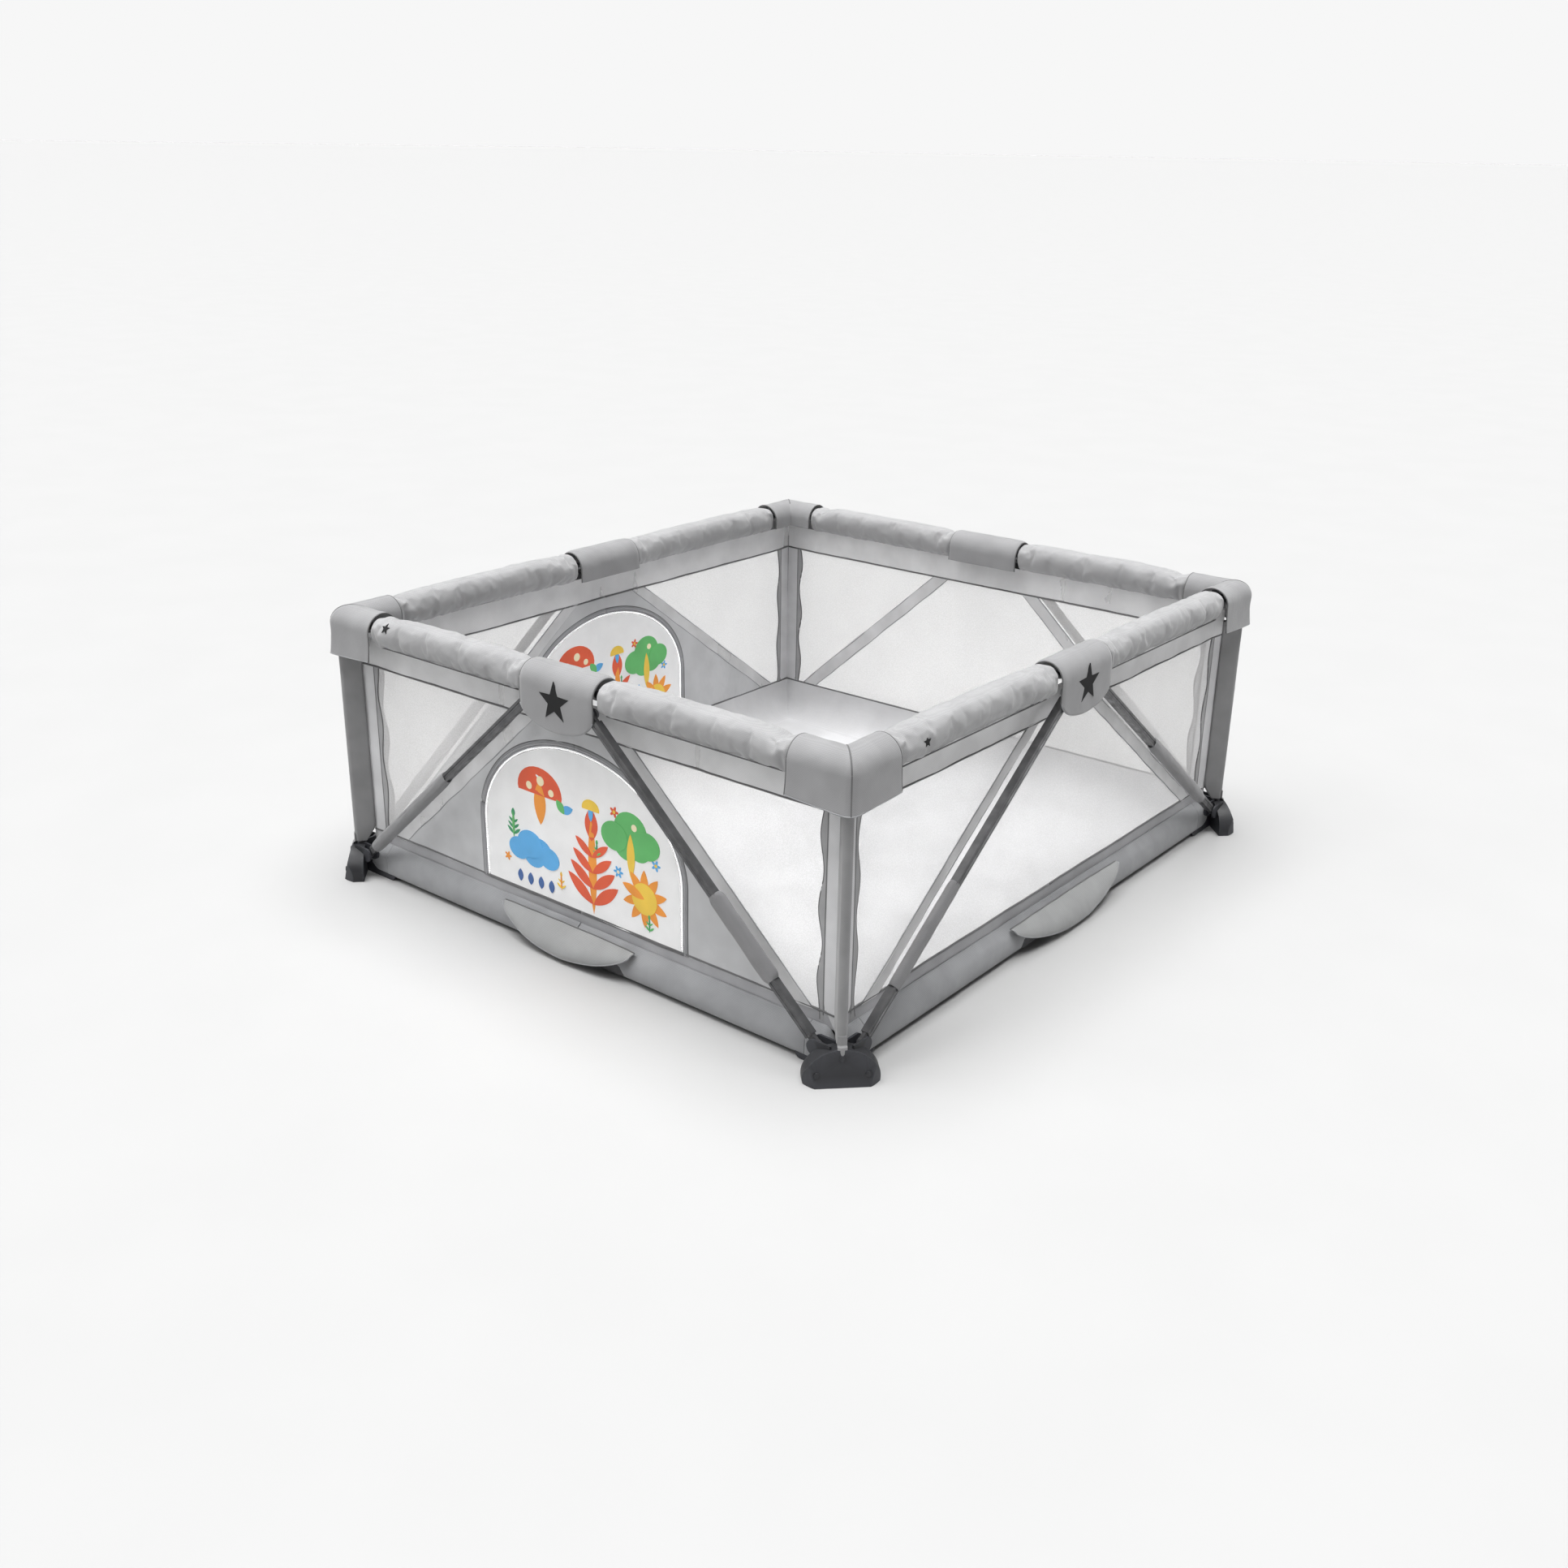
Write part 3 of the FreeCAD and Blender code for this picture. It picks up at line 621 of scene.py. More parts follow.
def hub_covers():
    """A padded cloth cover over each hub, with a rounded outer flap, bound edges and a plain star on it."""
    radius = COVER_RADIUS - COVER_SKIN
    inner_hem = 0.590
    flap_ends = 0.604
    star_height = 0.600
    reach = COVER_HALF - 0.002

    def low_edge(u):
        bow = math.sqrt(max(1 - (u / (COVER_HALF * 1.02)) ** 2, 0))
        return flap_ends - (flap_ends - FLAP_BOTTOM - 0.002) * bow ** 0.75

    for number, side in enumerate(SIDES):

        def point(i, j):
            u = (2 * i - 1) * reach
            out, z = arch_section(j, radius, inner_hem, low_edge(u))
            edge = min(1, (COVER_HALF - abs(u)) / 0.012)
            puffed = 0.0016 * edge + 0.0012 * noise.noise(Vector((u * 30, z * 26, number * 4 + out * 30)))
            tuck = 0.003 * (1 - edge) ** 2
            grow = 1 + (puffed - tuck) / radius
            return side.at(u, out * grow, RAIL_Z + (z - RAIL_Z) * (grow if z > RAIL_Z else 1))

        cover = surface(f"hub_cover_cloth_{side.name}", 56, 54, point, CAP_CLOTH)
        thicken(cover, COVER_THICK, 1)
        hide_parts(f"hub_cover_{side.name}")
        settle(cover, f"hub_{side.name}")
        rims = []
        for u in (-reach, reach):
            arch = [arch_section(k / 60, radius - 0.0018, inner_hem, low_edge(u)) for k in range(61)]
            rims.append(tube_along("rim", [side.at(u, out, z) for out, z in arch], 0.0017, BINDING))
        edge = [(2 * k / 60 - 1) * reach for k in range(61)]
        path = [side.at(u, radius - 0.0004, low_edge(u)) for u in edge]
        rims.append(tube_along("rim", path, SEAM_FINE, SLEEVE_CLOTH))
        rim = join(f"hub_cover_rim_{side.name}", rims)
        settle(rim, f"hub_{side.name}")

        def on_flap(x, y, lift):
            return side.at(x, radius + COVER_THICK + lift, star_height + y)

        star = flat_shape(f"hub_star_{side.name}", star_outline(0.045, 0.019), BLACK_PRINT, on_flap, 0.0012)
        settle(star, f"hub_{side.name}")


def corner_caps():
    """A square-cornered cloth cap over each slider, with a seam down its outer corner."""
    radius = COVER_RADIUS - COVER_SKIN
    inner_hem = 0.600
    reach = CAP_REACH - 0.001
    for number, corner in enumerate(CORNERS):

        def point(i, j):
            low = CAP_BOTTOM - 0.006 * math.cos(math.pi * (i - 0.5)) + 0.004
            out, z = arch_section(j, radius, inner_hem, low, 0.004)
            leg = abs(2 * i - 1)
            soft = 0.006 * (1 - min(1, leg / 0.12)) ** 2 * max(0, out) / radius
            ripple = 0.0012 * noise.noise(Vector((i * 6, z * 24, number * 5 + out * 20)))
            out = out + (ripple - soft) * (1 if out > 0 else -1)
            along = -out + (reach + out) * leg
            x, y = (along, -out) if i < 0.5 else (-out, along)
            return corner_point(corner, x, y, z + (ripple if z > RAIL_Z else 0))

        cap = surface(f"corner_cap_cloth_{corner}", 48, 54, point, CAP_CLOTH)
        thicken(cap, COVER_THICK, 1)
        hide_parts(f"corner_cap_{corner}")
        settle(cap, f"slider_{corner}")
        trims = []
        for i in (0, 1):
            trims.append(tube_along("rim", [point(i, k / 60) for k in range(61)], SEAM_FINE, BINDING))
        path = [point(0.5, 0.30 + 0.70 * k / 50) for k in range(51)]
        trims.append(tube_along("seam", path, 0.0022, BINDING))
        trims.append(tube_along("hem", [point(k / 60, 1.0) for k in range(61)], 0.0017, SLEEVE_CLOTH))
        trim = join(f"corner_cap_trim_{corner}", trims)
        settle(trim, f"slider_{corner}")


# ---- flat shapes for prints ----


def ring_outline(count, radius):
    """A closed outline of count points from radius(number, turn)."""
    turns = [2 * math.pi * k / count for k in range(count)]
    reaches = [radius(k, turn) for k, turn in enumerate(turns)]
    return [(r * math.cos(turn), r * math.sin(turn)) for r, turn in zip(reaches, turns)]


def disc_outline(rx, ry=None):
    squeeze = (ry or rx) / rx
    return [(x, y * squeeze) for x, y in ring_outline(28, lambda k, turn: rx)]


def star_outline(outer, inner):
    star = ring_outline(10, lambda k, turn: inner if k % 2 else outer)
    return [(-y, x) for x, y in star]


def flower_outline(petals, radius):
    return ring_outline(48, lambda k, turn: radius * (0.72 + 0.28 * math.cos(petals * turn)))


def leaf_outline(length, width):
    """A pointed leaf from its stalk at the origin, along +Y."""
    right = [(width * math.sin(math.pi * k / 12) ** 0.8, length * k / 12) for k in range(13)]
    return right + [(-x, y) for x, y in reversed(right[1:-1])]


def moved(outline, x=0.0, y=0.0, turn=0.0):
    c, s = math.cos(math.radians(turn)), math.sin(math.radians(turn))
    return [(x + c * px - s * py, y + s * px + c * py) for px, py in outline]


def flat_shape(name, outline, material, place, depth):
    """A thin plate of an outline. place(x, y, lift) gives its points, and lift goes from -depth to depth."""
    count = len(outline)
    points = [place(x, y, -depth) for x, y in outline] + [place(x, y, depth) for x, y in outline]
    faces = [tuple(range(count)), tuple(reversed(range(count, 2 * count)))]
    faces += [(k, count + k, count + (k + 1) % count, (k + 1) % count) for k in range(count)]
    piece = outward_normals(make(name, points, faces, material))
    shade_faces(piece.data, False)
    return piece


def sprig(x, y, size, leaves, colour, stem):
    """A curved stalk with paired leaves and a round bud, as (outline, colour) pairs."""
    parts = [(moved(leaf_outline(size, size * 0.055), x, y), stem)]
    for k in range(leaves):
        up = y + size * (0.10 + 0.66 * k / leaves)
        long = size * (0.42 - 0.20 * k / leaves)
        for turn in (-52, 52):
            parts.append((moved(leaf_outline(long, long * 0.15), x, up, turn), colour))
    parts.append((moved(leaf_outline(size * 0.34, size * 0.085), x, y + size * 0.76), colour))
    return parts


def discs(x, y, size, colour, places, flat=1.0):
    """Discs at places (x share, y share, radius share) of a size, each flat times as tall as wide."""
    return [(moved(disc_outline(size * r, size * r * flat), x + dx * size, y + dy * size), colour)
            for dx, dy, r in places]


def bush(x, y, size, colour, trunk):
    leaves = ((-0.42, 0.0, 0.34), (0.42, 0.02, 0.32), (0.0, 0.22, 0.42), (-0.1, -0.12, 0.34),
              (0.2, -0.1, 0.3))
    fruit = ((-0.3, 0.1, 0.07), (0.1, 0.3, 0.07), (0.35, 0.0, 0.07))
    stem = (moved(leaf_outline(size * 0.9, size * 0.10), x, y - size * 0.75), trunk)
    return [stem] + discs(x, y, size, colour, leaves, 0.86) + discs(x, y, size, "cream", fruit)


def cloud(x, y, size, colour, drops):
    puffs = ((-0.5, 0.0, 0.34), (0.5, 0.0, 0.34), (-0.12, 0.2, 0.42), (0.22, 0.12, 0.38), (0, -0.08, 0.34))
    parts = discs(x, y, size, colour, puffs, 0.8)
    for dx in (-0.5, -0.15, 0.2, 0.55):
        drop = moved(leaf_outline(size * 0.32, size * 0.09), x + dx * size, y - size * 0.85)
        parts.append((drop, drops))
    return parts


def sun(x, y, size, rays, colour, heart):
    parts = [(moved(leaf_outline(size, size * 0.17), x, y, 360 * k / rays), colour) for k in range(rays)]
    return parts + [(moved(disc_outline(size * 0.55), x, y), heart)]


def bloom(x, y, petals, radius, colour, heart):
    return [(moved(flower_outline(petals, radius), x, y), colour), (moved(disc_outline(0.004), x, y), heart)]


def toadstool(x, y, size, cap_colour, stalk):
    parts = [(moved(leaf_outline(size * 1.1, size * 0.20), x, y - size * 0.7), stalk)]
    dome = [(px, max(py, -0.1 * size)) for px, py in disc_outline(size * 0.75, size * 0.6)]
    parts.append((moved(dome, x, y + size * 0.15), cap_colour))
    spots = ((-0.35, 0.22, 0.10), (0.05, 0.42, 0.12), (0.4, 0.2, 0.09))
    return parts + discs(x, y, size, "cream", spots)


def door_prints():
    """The patches printed on a door: plants, weather and flowers, from the door's middle, in metres."""
    parts = []
    parts += sprig(0.040, 0.115, 0.225, 4, "red", "orange")
    parts += toadstool(-0.116, 0.345, 0.092, "red", "orange")
    parts += cloud(-0.142, 0.205, 0.095, "blue", "navy")
    parts += bush(0.155, 0.318, 0.112, "green", "yellow")
    parts += sun(0.192, 0.198, 0.066, 10, "orange", "yellow")
    parts += sprig(-0.205, 0.228, 0.062, 3, "deep_green", "green")
    parts += toadstool(0.040, 0.355, 0.034, "yellow", "blue")
    parts += bloom(0.109, 0.372, 5, 0.013, "red", "yellow")
    parts += [(moved(leaf_outline(0.040, 0.010), -0.052, 0.330, -70), "blue")]
    parts += [(moved(leaf_outline(0.036, 0.010), -0.040, 0.326, 40), "green")]
    parts += sprig(0.055, 0.254, 0.036, 2, "green", "deep_green")
    parts += bloom(0.117, 0.238, 6, 0.014, "blue", "cream")
    parts += sprig(-0.058, 0.142, 0.040, 2, "yellow", "orange")
    parts += sprig(0.205, 0.125, 0.038, 2, "green", "deep_green")
    parts += bloom(0.226, 0.284, 5, 0.013, "blue", "yellow")
    parts += [(moved(flower_outline(5, 0.011), -0.228, 0.175), "orange")]
    return parts


# ---- net walls, bands, doors ----


def ruled(name, side, half, rows, cols, low, high, across, material, thickness, wave=1.0):
    """Cloth on a half wall. across gives a distance from the side's middle, or a height with along off;
    low and high bound the other one.
    """

    def point(i, j):
        fixed = across(i)
        free = low(fixed) + (high(fixed) - low(fixed)) * j
        u, z = (fixed, free) if across.along else (free, fixed)
        return side.cloth(half * u, z, wave=wave)

    return thicken(surface(name, rows, cols, point, material), thickness)


class Span:
    """A stretch from start to stop, either along the side or up it."""

    def __init__(self, start, stop, along=True):
        self.start = start
        self.stop = stop
        self.along = along

    def __call__(self, share):
        return self.start + (self.stop - self.start) * share


def arch_height(u, half, rise):
    return DOOR_SPRING + rise * math.sqrt(max(1 - (u / half) ** 2, 0))


def arch_width(z, half, rise):
    """How far an arch reaches from the middle at a height; 0 above its top."""
    if z <= DOOR_SPRING:
        return half
    return half * math.sqrt(max(1 - ((z - DOOR_SPRING) / rise) ** 2, 0))


def bar_run(side):
    """Where a diagonal bar starts, from its side's middle, and how far it runs along the side."""
    pin_out = PIN_FRONT if side.half == HALF_W else PIN_SIDE
    return pin_out, side.half - FOOT_PIN - pin_out


def bar_line(side, z):
    """How far from the middle a diagonal bar is at a height."""
    pin_out, run = bar_run(side)
    return pin_out + run * (BAR_TOP - z) / BAR_RISE


def base_line(side, u):
    """The lower edge of the wall's cloth, which rises over the feet."""
    near = (abs(u) - (side.half - 0.170)) / 0.060
    return WALL_LOW + 0.012 + 0.045 * min(1, max(0, near))


def half_wall(side, half, end, corner):
    """Everything sewn into one half of one side, as a net sheet with bands, strips and bindings on it."""
    wall_end = side.half - CORNER_IN
    name = f"{side.name}_{end}"
    net_sheet = ruled(f"net_{name}", side, half, 30, 22, lambda u: base_line(side, u), lambda u: SEWN_TOP,
                      Span(0, wall_end), NET, 0.0005)
    if half == -1 and side.name == "front":
        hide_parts("mesh_walls")
    band = 0.002
    bands = [
        ruled("band", side, half, 60, 6, lambda u: BAND_BOTTOM, lambda u: SEWN_TOP,
              Span(0, wall_end), BAND_CLOTH, band, 1.6),
        ruled("base", side, half, 40, 5, lambda u: base_line(side, u) - 0.004, lambda u: BASE_TOP,
              Span(0, wall_end), BASE_CLOTH, band),
    ]
    strip_in = wall_end - STRIP_WIDTH

    def wavy(z):
        sway = 0.004 * math.sin(z * 40 + half) + 0.003 * noise.noise(Vector((z * 14, half, 2)))
        return strip_in - TRIM_WIDTH - sway

    def strip_low(z):
        return strip_in + max(0, 0.125 - z) * 0.6

    bands.append(ruled("strip", side, half, 40, 4, strip_low, lambda z: wall_end,
                       Span(0.062, BAND_BOTTOM, False), STRIP_CLOTH, band))
    bands.append(ruled("trim", side, half, 60, 2, wavy, lambda z: strip_in + 0.002,
                       Span(0.086, BAND_BOTTOM, False), TRIM_CLOTH, 0.0028))

    def bar_inner(z):
        return bar_line(side, z) - 0.042 - 0.004 * noise.noise(Vector((z * 22, half, side.reach)))

    def bar_outer(z):
        return min(bar_line(side, z) + 0.006, strip_in)

    between = Span(BASE_TOP - 0.004, BAND_BOTTOM + 0.004, False)
    bands.append(ruled("bar_strip", side, half, 40, 4, bar_inner, bar_outer, between,
                       GATHER_CLOTH, 0.0026, 1.9))
    if side.name in DOORS:
        margin = 0.010

        def door_edge(z):
            return arch_width(z, DOOR_HALF + margin, DOOR_TOP - DOOR_SPRING + margin)

        bands.append(ruled("panel", side, half, 70, 10, door_edge, lambda z: max(bar_inner(z), door_edge(z)),
                           between, PANEL_CLOTH, band, 1.2))
    lines = []
    for height in (BAND_BOTTOM, BASE_TOP):
        path = [side.cloth(half * wall_end * k / 50, height) for k in range(51)]
        lines.append(tube_along("line", path, SEAM_WIDE, BINDING, flat=0.9))
    for edge, low, radius, material in (
            (wavy, 0.088, SEAM_MIDDLE, BINDING), (lambda z: strip_in, 0.100, SEAM_MIDDLE, BINDING),
            (bar_inner, BASE_TOP, SEAM_FINE, SLEEVE_CLOTH), (bar_outer, BASE_TOP, SEAM_FINE, SLEEVE_CLOTH)):
        count = 50 if material is BINDING else 40
        heights = [low + (BAND_BOTTOM - low) * k / count for k in range(count + 1)]
        path = [side.cloth(half * edge(z), z) for z in heights]
        lines.append(tube_along("line", path, radius, material))
    cloth = join(f"bands_{name}", bands)
    binding = join(f"bindings_{name}", lines)
    body = f"corner_{corner}"
    squash = wall_squash(side, half)
    for piece in (net_sheet, cloth, binding):
        settle(piece, body, squash)
    if side.name in DOORS:
        half_door(side, half, name, body, squash)


DOOR_RINGS = (
    (-0.004, 0.0014, ZIP_WHITE), (0.000, 0.0022, SLEEVE_CLOTH), (0.0045, 0.0030, BASE_CLOTH),
    (0.0090, 0.0022, SLEEVE_CLOTH), (0.0120, 0.0016, BINDING),
)


def half_door(side, half, name, body, squash):
    """Half of an arched door panel, its zip, its tape and the prints on it."""
    margin = 0.008
    inner = DOOR_HALF - margin
    rise = DOOR_TOP - DOOR_SPRING - margin
    panel = ruled(f"door_panel_{name}", side, half, 60, 24, lambda u: DOOR_LOW,
                  lambda u: arch_height(u, inner, rise), Span(0, inner), DOOR_NET, 0.0026, 0.5)
    if half == -1:
        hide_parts(f"door_{side.name}")
    settle(panel, body, squash)
    rings = []
    for gap, radius, material in DOOR_RINGS:
        path = []
        reach = DOOR_HALF + gap
        up = DOOR_TOP - DOOR_SPRING + gap
        for k in range(14):
            path.append(side.cloth(half * reach, DOOR_LOW + (DOOR_SPRING - DOOR_LOW) * k / 14))
        for k in range(46):
            turn = math.pi / 2 * k / 45
            path.append(side.cloth(half * reach * math.cos(turn), DOOR_SPRING + up * math.sin(turn)))
        rings.append(tube_along("ring", path, radius, material))
        if material is ZIP_WHITE:
            rings += zip_teeth(path)
    path = [side.cloth(half * DOOR_HALF * k / 30, DOOR_LOW) for k in range(31)]
    rings.append(tube_along("hem", path, 0.0024, BINDING))
    zip_piece = join(f"zip_{name}", rings)
    settle(zip_piece, body, squash)
    prints = []
    flip = -1 if side.name == "left" else 1
    for number, (outline, colour) in enumerate(door_prints()):
        middle_u = sum(x for x, _ in outline) / len(outline) * flip
        if (middle_u >= 0) != (half > 0):
            continue
        depth = 0.0017 + 0.00012 * (number % 9)
        prints.append(flat_shape("print", outline, PRINTS[colour],
                                 lambda x, y, lift: side.cloth(flip * x, y, lift, 0.5), depth))
    printed = join(f"prints_{name}", prints)
    settle(printed, body, squash)


def zip_teeth(path):
    """Small blocks across a zip's coil."""
    teeth = []
    for k in range(1, len(path) - 1):
        ahead = (path[k + 1] - path[k - 1]).normalized()
        for share in (0.25, 0.75):
            here = path[k] + (path[k + 1] - path[k]) * share
            ends = [here - ahead * 0.001, here + ahead * 0.001]
            teeth.append(tube_along("tooth", ends, 0.0021, ZIP_WHITE, sides=6))
    return teeth


# ---- post covers, bottom sleeves, bar sleeves ----


def post_columns():
    """The cloth column round each post, a rounded nose that runs back to the walls' corner, and its strap."""
    nose = POST_RADIUS + 0.0022
    axis = -POST_OFFSET
    reach = (CORNER_IN + 0.001 - axis) * math.sqrt(2)
    low_end, top_end = 0.079, 0.560
    strap_out = nose + abs(axis) * math.sqrt(2) + 0.001
    foot_top = 0.078

    def outline(turn_share):
        """Around the section, in the frame across the corner: depth inwards and distance sideways."""
        if turn_share < 0.5:
            turn = math.pi / 2 + math.pi * turn_share * 2
            return math.cos(turn) * nose, math.sin(turn) * nose
        along = (turn_share - 0.5) * 2
        if along < 0.45:
            return reach * along / 0.45, -nose * (1 - 0.25 * along)
        if along < 0.55:
            return reach, -nose * 0.8 + nose * 1.6 * (along - 0.45) / 0.10
        return reach * (1 - along) / 0.45, nose * (1 - 0.25 * (1 - along))

    for number, corner in enumerate(CORNERS):

        def across_corner(start, depth, sideways, z):
            x = start + (depth + sideways) / math.sqrt(2)
            y = start + (depth - sideways) / math.sqrt(2)
            return corner_point(corner, x, y, z)

        def point(i, j):
            z = low_end + (top_end - low_end) * i
            depth, sideways = outline(j)
            if depth > 0:
                depth *= 1 - 0.55 * max(0, (0.115 - z) / 0.036)
            sideways += 0.0007 * noise.noise(Vector((sideways * 60, z * 9, number * 3 + depth * 40)))
            return across_corner(axis, depth, sideways, z)

        column = outward_normals(surface(f"post_cover_{corner}", 60, 60, point, COLUMN_CLOTH, loop=True))
        settle(column, f"corner_{corner}")

        def strap_point(i, j):
            z = 0.100 - 0.040 * i
            shield = 0.0605 - 0.018 * z / foot_top + 0.0012
            width = 0.0098 * math.sqrt(max(1 - max(0, (i - 0.75) / 0.25) ** 2, 0.02))
            bow = 0.0025 * (2 * j - 1) ** 2
            depth = bow - (max(strap_out, shield) if z < foot_top else strap_out)
            return across_corner(0, depth, (2 * j - 1) * width, z)

        strap = thicken(surface(f"post_strap_{corner}", 24, 8, strap_point, COLUMN_CLOTH), CLOTH, 1)
        settle(strap, f"corner_{corner}")


def sleeve_section(turn, wide, narrow):
    """Around the section of a bottom sleeve: round below, drawn up to a seam by the wall."""
    outline = [(-0.012, 0.012), (0.0, 0.007), (0.013, 0.013), (0.017, 0.030), (0.0155, 0.048), (0.009, 0.064),
               (-0.004, 0.078), (-0.012, 0.080), (-0.0155, 0.060), (-0.0165, 0.034), (-0.015, 0.020)]
    where = turn * len(outline)
    k = int(where) % len(outline)
    share = where - int(where)
    p0, p1, p2, p3 = (outline[(k + d) % len(outline)] for d in (-1, 0, 1, 2))

    def smooth(a):
        first = (p2[a] - p0[a]) * share
        second = (2 * p0[a] - 5 * p1[a] + 4 * p2[a] - p3[a]) * share ** 2
        third = (3 * p1[a] - p0[a] - 3 * p2[a] + p3[a]) * share ** 3
        return 0.5 * (2 * p1[a] + first + second + third)

    return max(-narrow, min(wide, smooth(0))), smooth(1)


def bottom_sleeves():
    """A cloth sleeve round each bottom half rail, and the short end of it that stays with the foot."""
    pivot = 0.068
    gap = 0.001
    middle_z = 0.040
    for number, side, half, end, corner in halves():
        split = side.half - pivot - 0.006
        stop = side.half - 0.018

        def section(u, j):
            near = max(0, min(1, (u - (side.half - 0.100)) / 0.030))
            out, z = sleeve_section(j, 0.0175 - 0.0030 * near, 0.0168 - 0.0022 * near)
            fold = 0.0011 * noise.noise(Vector((u * 16, out * 60 + z * 22, number * 3 + half)))
            tip = min(1, max(0, (u - (side.half - 0.040)) / 0.022))
            z = middle_z + (z + fold - middle_z) * (1 - 0.5 * tip ** 2)
            return side.at(half * u, out + fold, max(z, 0.0035))

        sleeve = surface(f"bottom_sleeve_{side.name}_{end}", 70, 44,
                         lambda i, j: section(gap + (split - gap) * i, j), SLEEVE_CLOTH, loop=True)
        settle(outward_normals(sleeve), f"bottom_rail_{side.name}_{end}")
        tip_end = surface(f"sleeve_end_{side.name}_{end}", 16, 44,
                          lambda i, j: section(split + gap + (stop - split) * i, j), SLEEVE_CLOTH, loop=True)
        settle(close_holes(tip_end), f"corner_{corner}")


def joint_flaps():
    """The leaf-shaped cloth flap over each bottom rail's joint, and the moulded guard under it."""
    flaps = {"front": (-0.221, 0.180, 1), "right": (-0.196, 0.282, -1), "back": (-0.20, 0.20, -1),
             "left": (-0.20, 0.20, 1)}
    for side in SIDES:
        start, stop, half = flaps[side.name]

        def point(i, j):
            u = start + (stop - start) * i
            bow = math.sin(math.pi * i) ** 0.6
            out = 0.0105 + 0.030 * math.sin(math.pi * j * 0.62) * bow + 0.0075 * j
            z = 0.080 - 0.066 * j * bow - 0.004 * (1 - bow)
            fold = 0.0015 * noise.noise(Vector((u * 20, z * 30, side.reach)))
            return side.at(u, out + fold, z)

        flap = thicken(surface(f"joint_flap_{side.name}", 46, 16, point, FLAP_CLOTH), CLOTH, 1)
        rim = tube_along("rim", [point(k / 50, 1.0) for k in range(51)], 0.0018, SLEEVE_CLOTH)
        top = tube_along("top", [point(k / 50, 0.0) for k in range(51)], 0.0018, BINDING)
        body = f"bottom_rail_{side.name}_{side.ends[half][0]}"
        settle(join(f"joint_flap_{side.name}", [flap, rim, top]), body)

        def rounded(value):
            return math.copysign(abs(value) ** 0.6, value)

        def guard_point(i, j):
            turn = 2 * math.pi * j
            ends = 1 - 0.25 * abs(2 * i - 1) ** 6
            out = 0.0185 * rounded(math.cos(turn)) * ends
            z = 0.026 + 0.018 * rounded(math.sin(turn)) * ends
            return side.at(half * (0.055 + 0.100 * i), out, z)

        guard = surface(f"joint_guard_{side.name}", 24, 28, guard_point, JOINT_PLASTIC, loop=True)
        settle(outward_normals(guard), body)


def bar_point(side, half, u):
    """A point on a diagonal bar's axis, by its distance from the side's middle."""
    pin_out, run = bar_run(side)
    return side.at(half * u, BAR_OUT, BAR_TOP - BAR_RISE * (u - pin_out) / run)


def bar_across(side, half):
    """The direction across a diagonal bar, in its side's plane."""
    slope = (side.along * -half * bar_run(side)[1] + Vector((0, 0, BAR_RISE))).normalized()
    return slope.cross(side.out).normalized()


def bar_channels():
    """The flat-sided profile of each diagonal bar, with a groove down its face whose floor is a lighter steel,
    a painted highlight down the bar's middle.
    """
    wide, face_out, groove, floor_wide, floor_out = 0.0092, 0.0086, 0.0036, 0.0030, 0.0072
    profile = [(-0.0083, -wide), (-0.0083, wide), (face_out, wide), (face_out, groove),
               (floor_out, floor_wide), (floor_out, -floor_wide), (face_out, -groove), (face_out, -wide)]
    count = len(profile)
    from_pin = 0.016
    for _, side, half, end, _ in halves():
        pin_out, run = bar_run(side)
        across = bar_across(side, half)
        points = []
        for u in (pin_out + from_pin, pin_out + run - from_pin):
            points += [bar_point(side, half, u) + side.out * out + across * w for out, w in profile]
        faces = [tuple(reversed(range(count))), tuple(range(count, 2 * count))]
        faces += [(k, (k + 1) % count, count + (k + 1) % count, count + k) for k in range(count)]
        channel = outward_normals(make(f"bar_channel_{side.name}_{end}", points, faces, BAR_STEEL))
        channel.data.materials.append(BAR_GROOVE_PAINTED_HIGHLIGHT)
        shade_faces(channel.data, False)
        # the groove floor faces take the lighter steel, a painted highlight down the bar's middle
        floor_plane = side.at(0, BAR_OUT, 0).dot(side.out) + floor_out
        for face in channel.data.polygons:
            outs = [channel.data.vertices[v].co.dot(side.out) for v in face.vertices]
            if all(abs(out - floor_plane) < 0.0003 for out in outs):
                face.material_index = 1
        settle(channel, f"diagonal_{side.name}_{end}")


def bar_sleeves():
    """A flat cloth sleeve on the middle of each diagonal bar, with gathered ends."""
    spans = {
        "front_right": (0.420, 0.572, 0.022),
        "front_left": (0.374, 0.655, 0.015),
        "right_front": (0.464, 0.668, 0.017),
        "right_back": (0.370, 0.690, 0.017),
    }
    unseen = (0.420, 0.640, 0.016)
    end_width = 0.0128
    depth = 0.0104
    for _, side, half, end, _ in halves():
        near, far, width = spans.get(f"{side.name}_{end}", unseen)
        across = bar_across(side, half)

        def point(i, j):
            u = near + (far - near) * i
            turn = 2 * math.pi * j
            edge = min(1, (0.5 - abs(i - 0.5)) / 0.06)
            wide = end_width + (width - end_width) * math.sqrt(edge)
            fold = 0.0010 * noise.noise(Vector((u * 30, math.sin(turn) * 3, half * 2 + side.reach)))
            outwards = side.out * (math.cos(turn) * depth + fold)
            return bar_point(side, half, u) + outwards + across * math.sin(turn) * (wide + fold)

        sleeve = surface(f"bar_sleeve_{side.name}_{end}", 44, 30, point, BAR_CLOTH, loop=True)
        thicken(sleeve, 0.0012)
        settle(sleeve, f"diagonal_{side.name}_{end}")


# ---- floor ----


